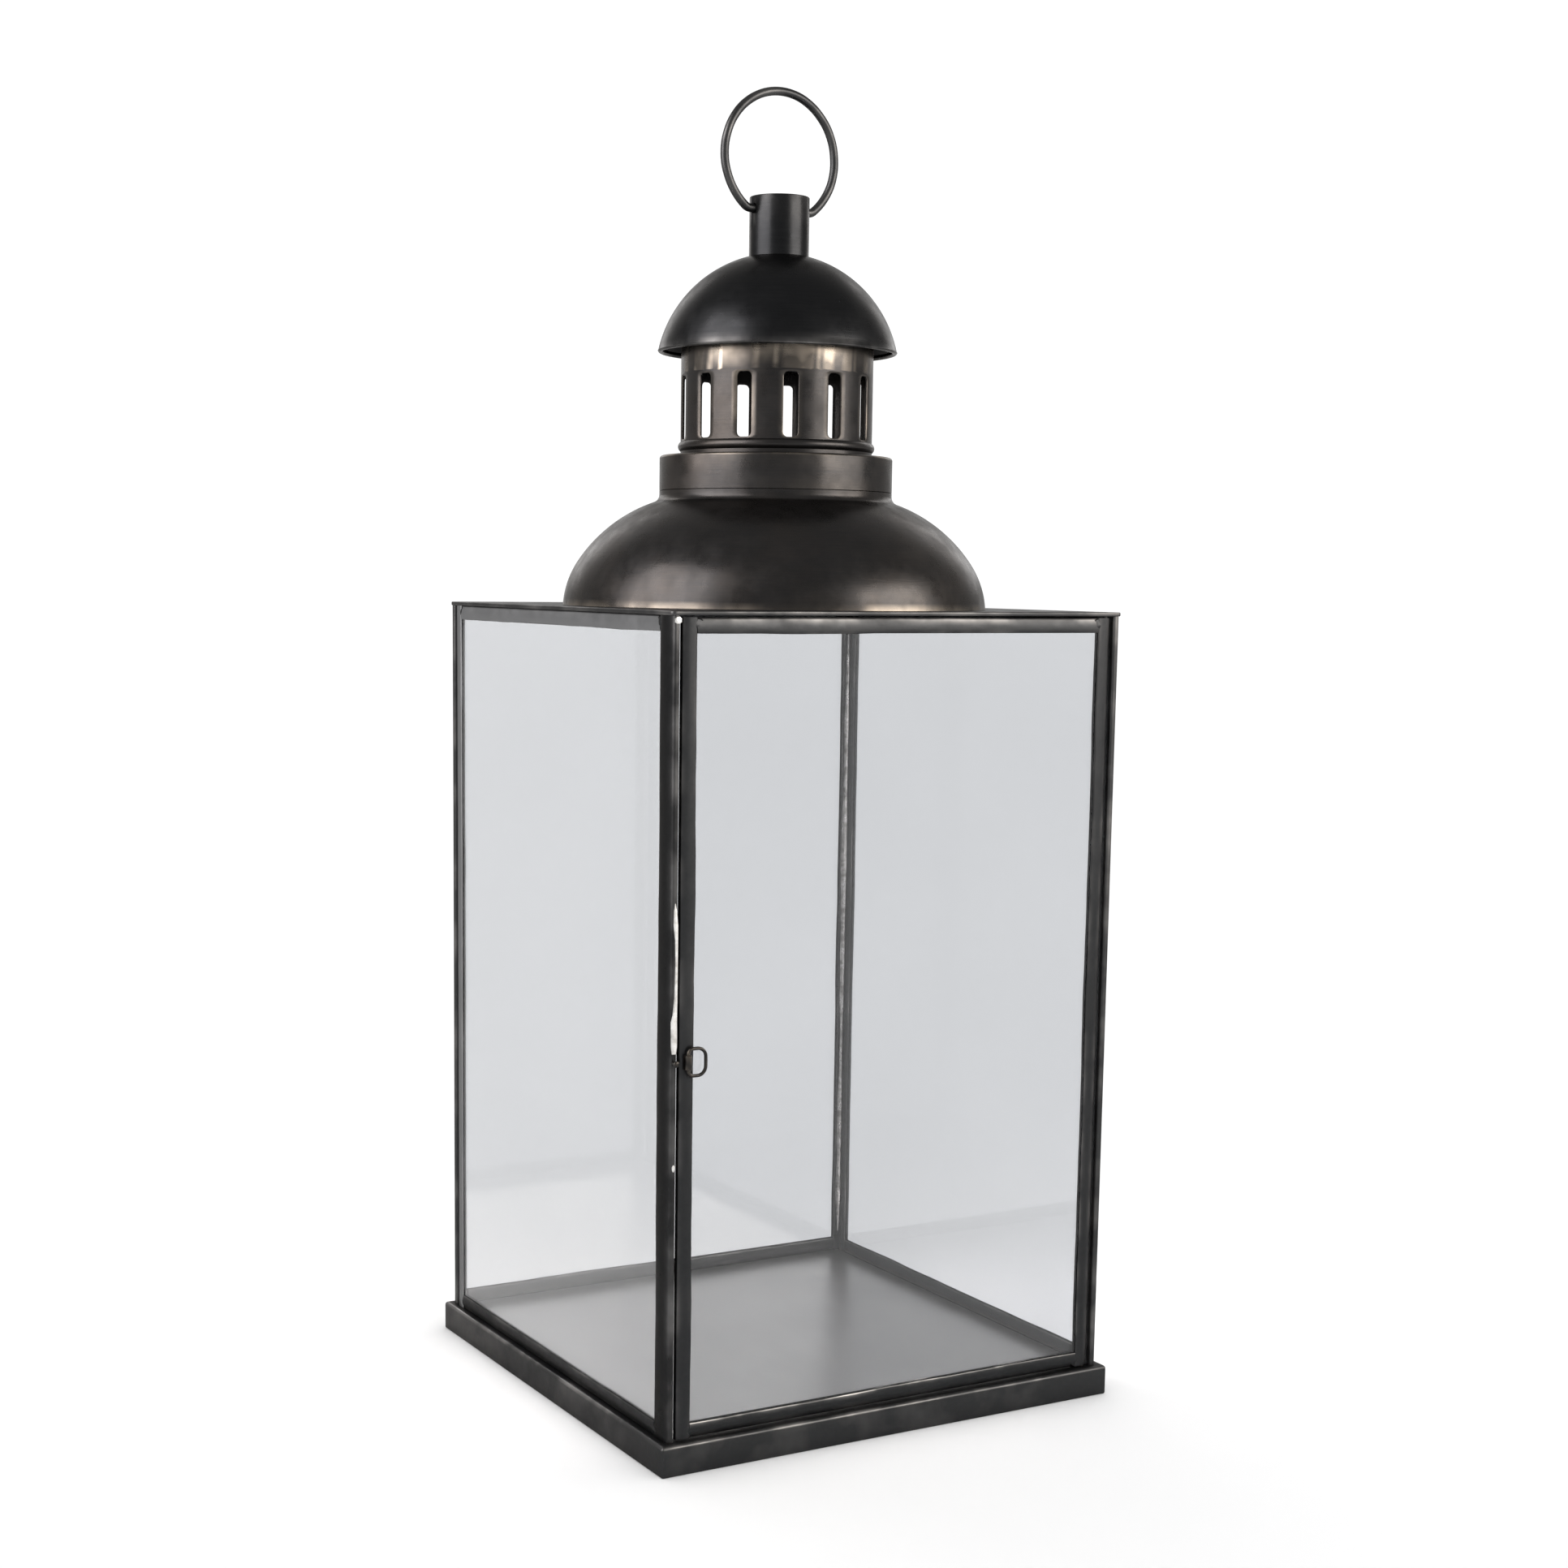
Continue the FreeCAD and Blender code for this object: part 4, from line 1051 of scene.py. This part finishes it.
pin_end = max(vert.co.x for vert in frame["nodes"]["ring_handle"].data.vertices
              if vert.co.x < 0 and abs(vert.co.z - handle_axis) < ring_wire * 0.99)
bend_x = neck_radius + RING_SHOULDER
ring_centre = RING_BEND + math.sqrt((RING_RADIUS - RING_BEND) ** 2 - bend_x ** 2)
lean = math.degrees(math.atan2(ring_centre - RING_BEND, bend_x))
half_route = [(-pin_end, 0.0), (-pin_end * 0.5 + bend_x * 0.5, 0.0)]
half_route += arc((bend_x, RING_BEND), RING_BEND, 270, 360 - lean, 8)
half_route += arc((0.0, ring_centre), RING_RADIUS, -lean, 90, 40)[1:]
ring_route = half_route + [(-x, z) for x, z in half_route[-2::-1]]
ring_path = [(x, RING_STRAY * bent_by_hand(index * RING_STEP) * min(1, z / (8 * MM)), handle_axis + z)
             for index, (x, z) in enumerate(ring_route)]
ring_rub = [0.35 if 3 < step < 11 else 0.1 for step in range(WIRE_STEPS)]
ring_rings = wire_rings(ring_path, ring_wire - RING_SLACK, around=WIRE_STEPS)
ring = solid("ring_wire", ring_rings, strip_bronze, ring_rub)
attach(ring, "handle")
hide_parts("ring_handle")


# ----------------------------------------------
# Studio
# The lantern stands on a pale floor in a white room. Two tall soft lights stand to the left and
# right of the camera and a weaker pair behind; they light the lantern, and the room lights the floor.
# ----------------------------------------------

FLOOR_REACH = 30.0
CAMERA_PLACE = Vector((-0.38624, -0.65800, 0.25330))
CAMERA_AHEAD = Vector((0.49115, 0.86035, -0.13626)).normalized()
CAMERA_ROLL = math.radians(0.7268)
CAMERA_LENS = 55.86
CAMERA_SHIFT = (0.0278, 0.0780)
CAMERA_SIDE = -30.4             # degrees from the door's side to the camera
ROOM_LIGHT = (1.10, 1.10, 1.10)

floor_material, floor_shader = finish_named("studio_floor", (0.96, 0.96, 0.96), 0.0, 1.0)
floor_shader.inputs["Specular IOR Level"].default_value = 0.0
studio_mesh = bpy.data.meshes.new("studio_floor")
corners = [(x * FLOOR_REACH, y * FLOOR_REACH, 0.0) for x, y in ((-1, -1), (1, -1), (1, 1), (-1, 1))]
studio_mesh.from_pydata(corners, [], [(0, 1, 2, 3)])
studio_mesh.materials.append(floor_material)
studio_floor = bpy.data.objects.new("studio_floor", studio_mesh)
bpy.context.scene.collection.objects.link(studio_floor)

lamp_reach = bpy.data.collections.new("lamp_reach")
lamp_reach.objects.link(studio_floor)
lamp_reach.collection_objects[0].light_linking.link_state = "EXCLUDE"

world = bpy.data.worlds.new("white_room")
bpy.context.scene.world = world
world.use_nodes = True
world.cycles.sampling_method = "NONE"
# Metal and glass mirror a backdrop that is darker behind the camera than ahead of it.
look = node(world, "ShaderNodeTexCoord").outputs["Generated"]
toward = node(world, "ShaderNodeVectorMath", {0: look, 1: (CAMERA_AHEAD.x, CAMERA_AHEAD.y, 0.0)},
              operation="DOT_PRODUCT").outputs["Value"]
backdrop = node(world, "ShaderNodeMapRange",
                {"Value": toward, "From Min": 0.15, "From Max": 0.80, "To Min": 0.45, "To Max": 0.95},
                interpolation_type="SMOOTHSTEP").outputs["Result"]
mirrored = node(world, "ShaderNodeLightPath").outputs["Is Glossy Ray"]
room = mixed(world, mirrored, ROOM_LIGHT, backdrop)
world.node_tree.links.new(room, world.node_tree.nodes["Background"].inputs["Color"])


def soft_light(name, azimuth, distance, width, low, high, radiance, colour):
    """A soft box that stands upright between two heights. Azimuth 0 is in front of the door."""
    light = bpy.data.lights.new(name, "AREA")
    light.shape = "RECTANGLE"
    light.size, light.size_y = width, high - low
    light.energy = radiance * math.pi * width * (high - low)
    light.color = colour
    lamp = bpy.data.objects.new(name, light)
    turn = math.radians(azimuth)
    back = Vector((math.sin(turn), -math.cos(turn), 0))
    lamp.location = back * distance + UP * ((low + high) / 2)
    lamp.rotation_euler = back.to_track_quat("Z", "Y").to_euler()
    lamp.light_linking.receiver_collection = lamp_reach
    bpy.context.scene.collection.objects.link(lamp)


soft_light("soft_left", CAMERA_SIDE - 62, 1.3, 1.25, 0.27, 1.75, 8.0, (1.0, 0.965, 0.96))
soft_light("soft_right", CAMERA_SIDE + 68, 1.3, 1.05, 0.27, 1.00, 8.8, (1.0, 0.945, 0.885))
soft_light("soft_back_left", CAMERA_SIDE - 150, 1.5, 0.5, 0.45, 1.4, 2.5, (0.97, 0.98, 1.0))
soft_light("soft_back_right", CAMERA_SIDE + 150, 1.5, 0.5, 0.45, 1.4, 2.5, (0.97, 0.98, 1.0))

camera_data = bpy.data.cameras.new("camera")
camera_data.lens = CAMERA_LENS
camera_data.sensor_width = 36.0
camera_data.shift_x, camera_data.shift_y = CAMERA_SHIFT
camera_data.clip_start = 0.01
camera = bpy.data.objects.new("camera", camera_data)
level_right = CAMERA_AHEAD.cross(UP).normalized()
level_up = level_right.cross(CAMERA_AHEAD)
right_hand = level_right * math.cos(CAMERA_ROLL) + level_up * math.sin(CAMERA_ROLL)
upward = level_up * math.cos(CAMERA_ROLL) - level_right * math.sin(CAMERA_ROLL)
turned = Matrix((right_hand, upward, -CAMERA_AHEAD)).transposed().to_4x4()
camera.matrix_world = Matrix.Translation(CAMERA_PLACE) @ turned
bpy.context.scene.collection.objects.link(camera)
bpy.context.scene.camera = camera
bpy.context.scene.view_settings.view_transform = "Standard"
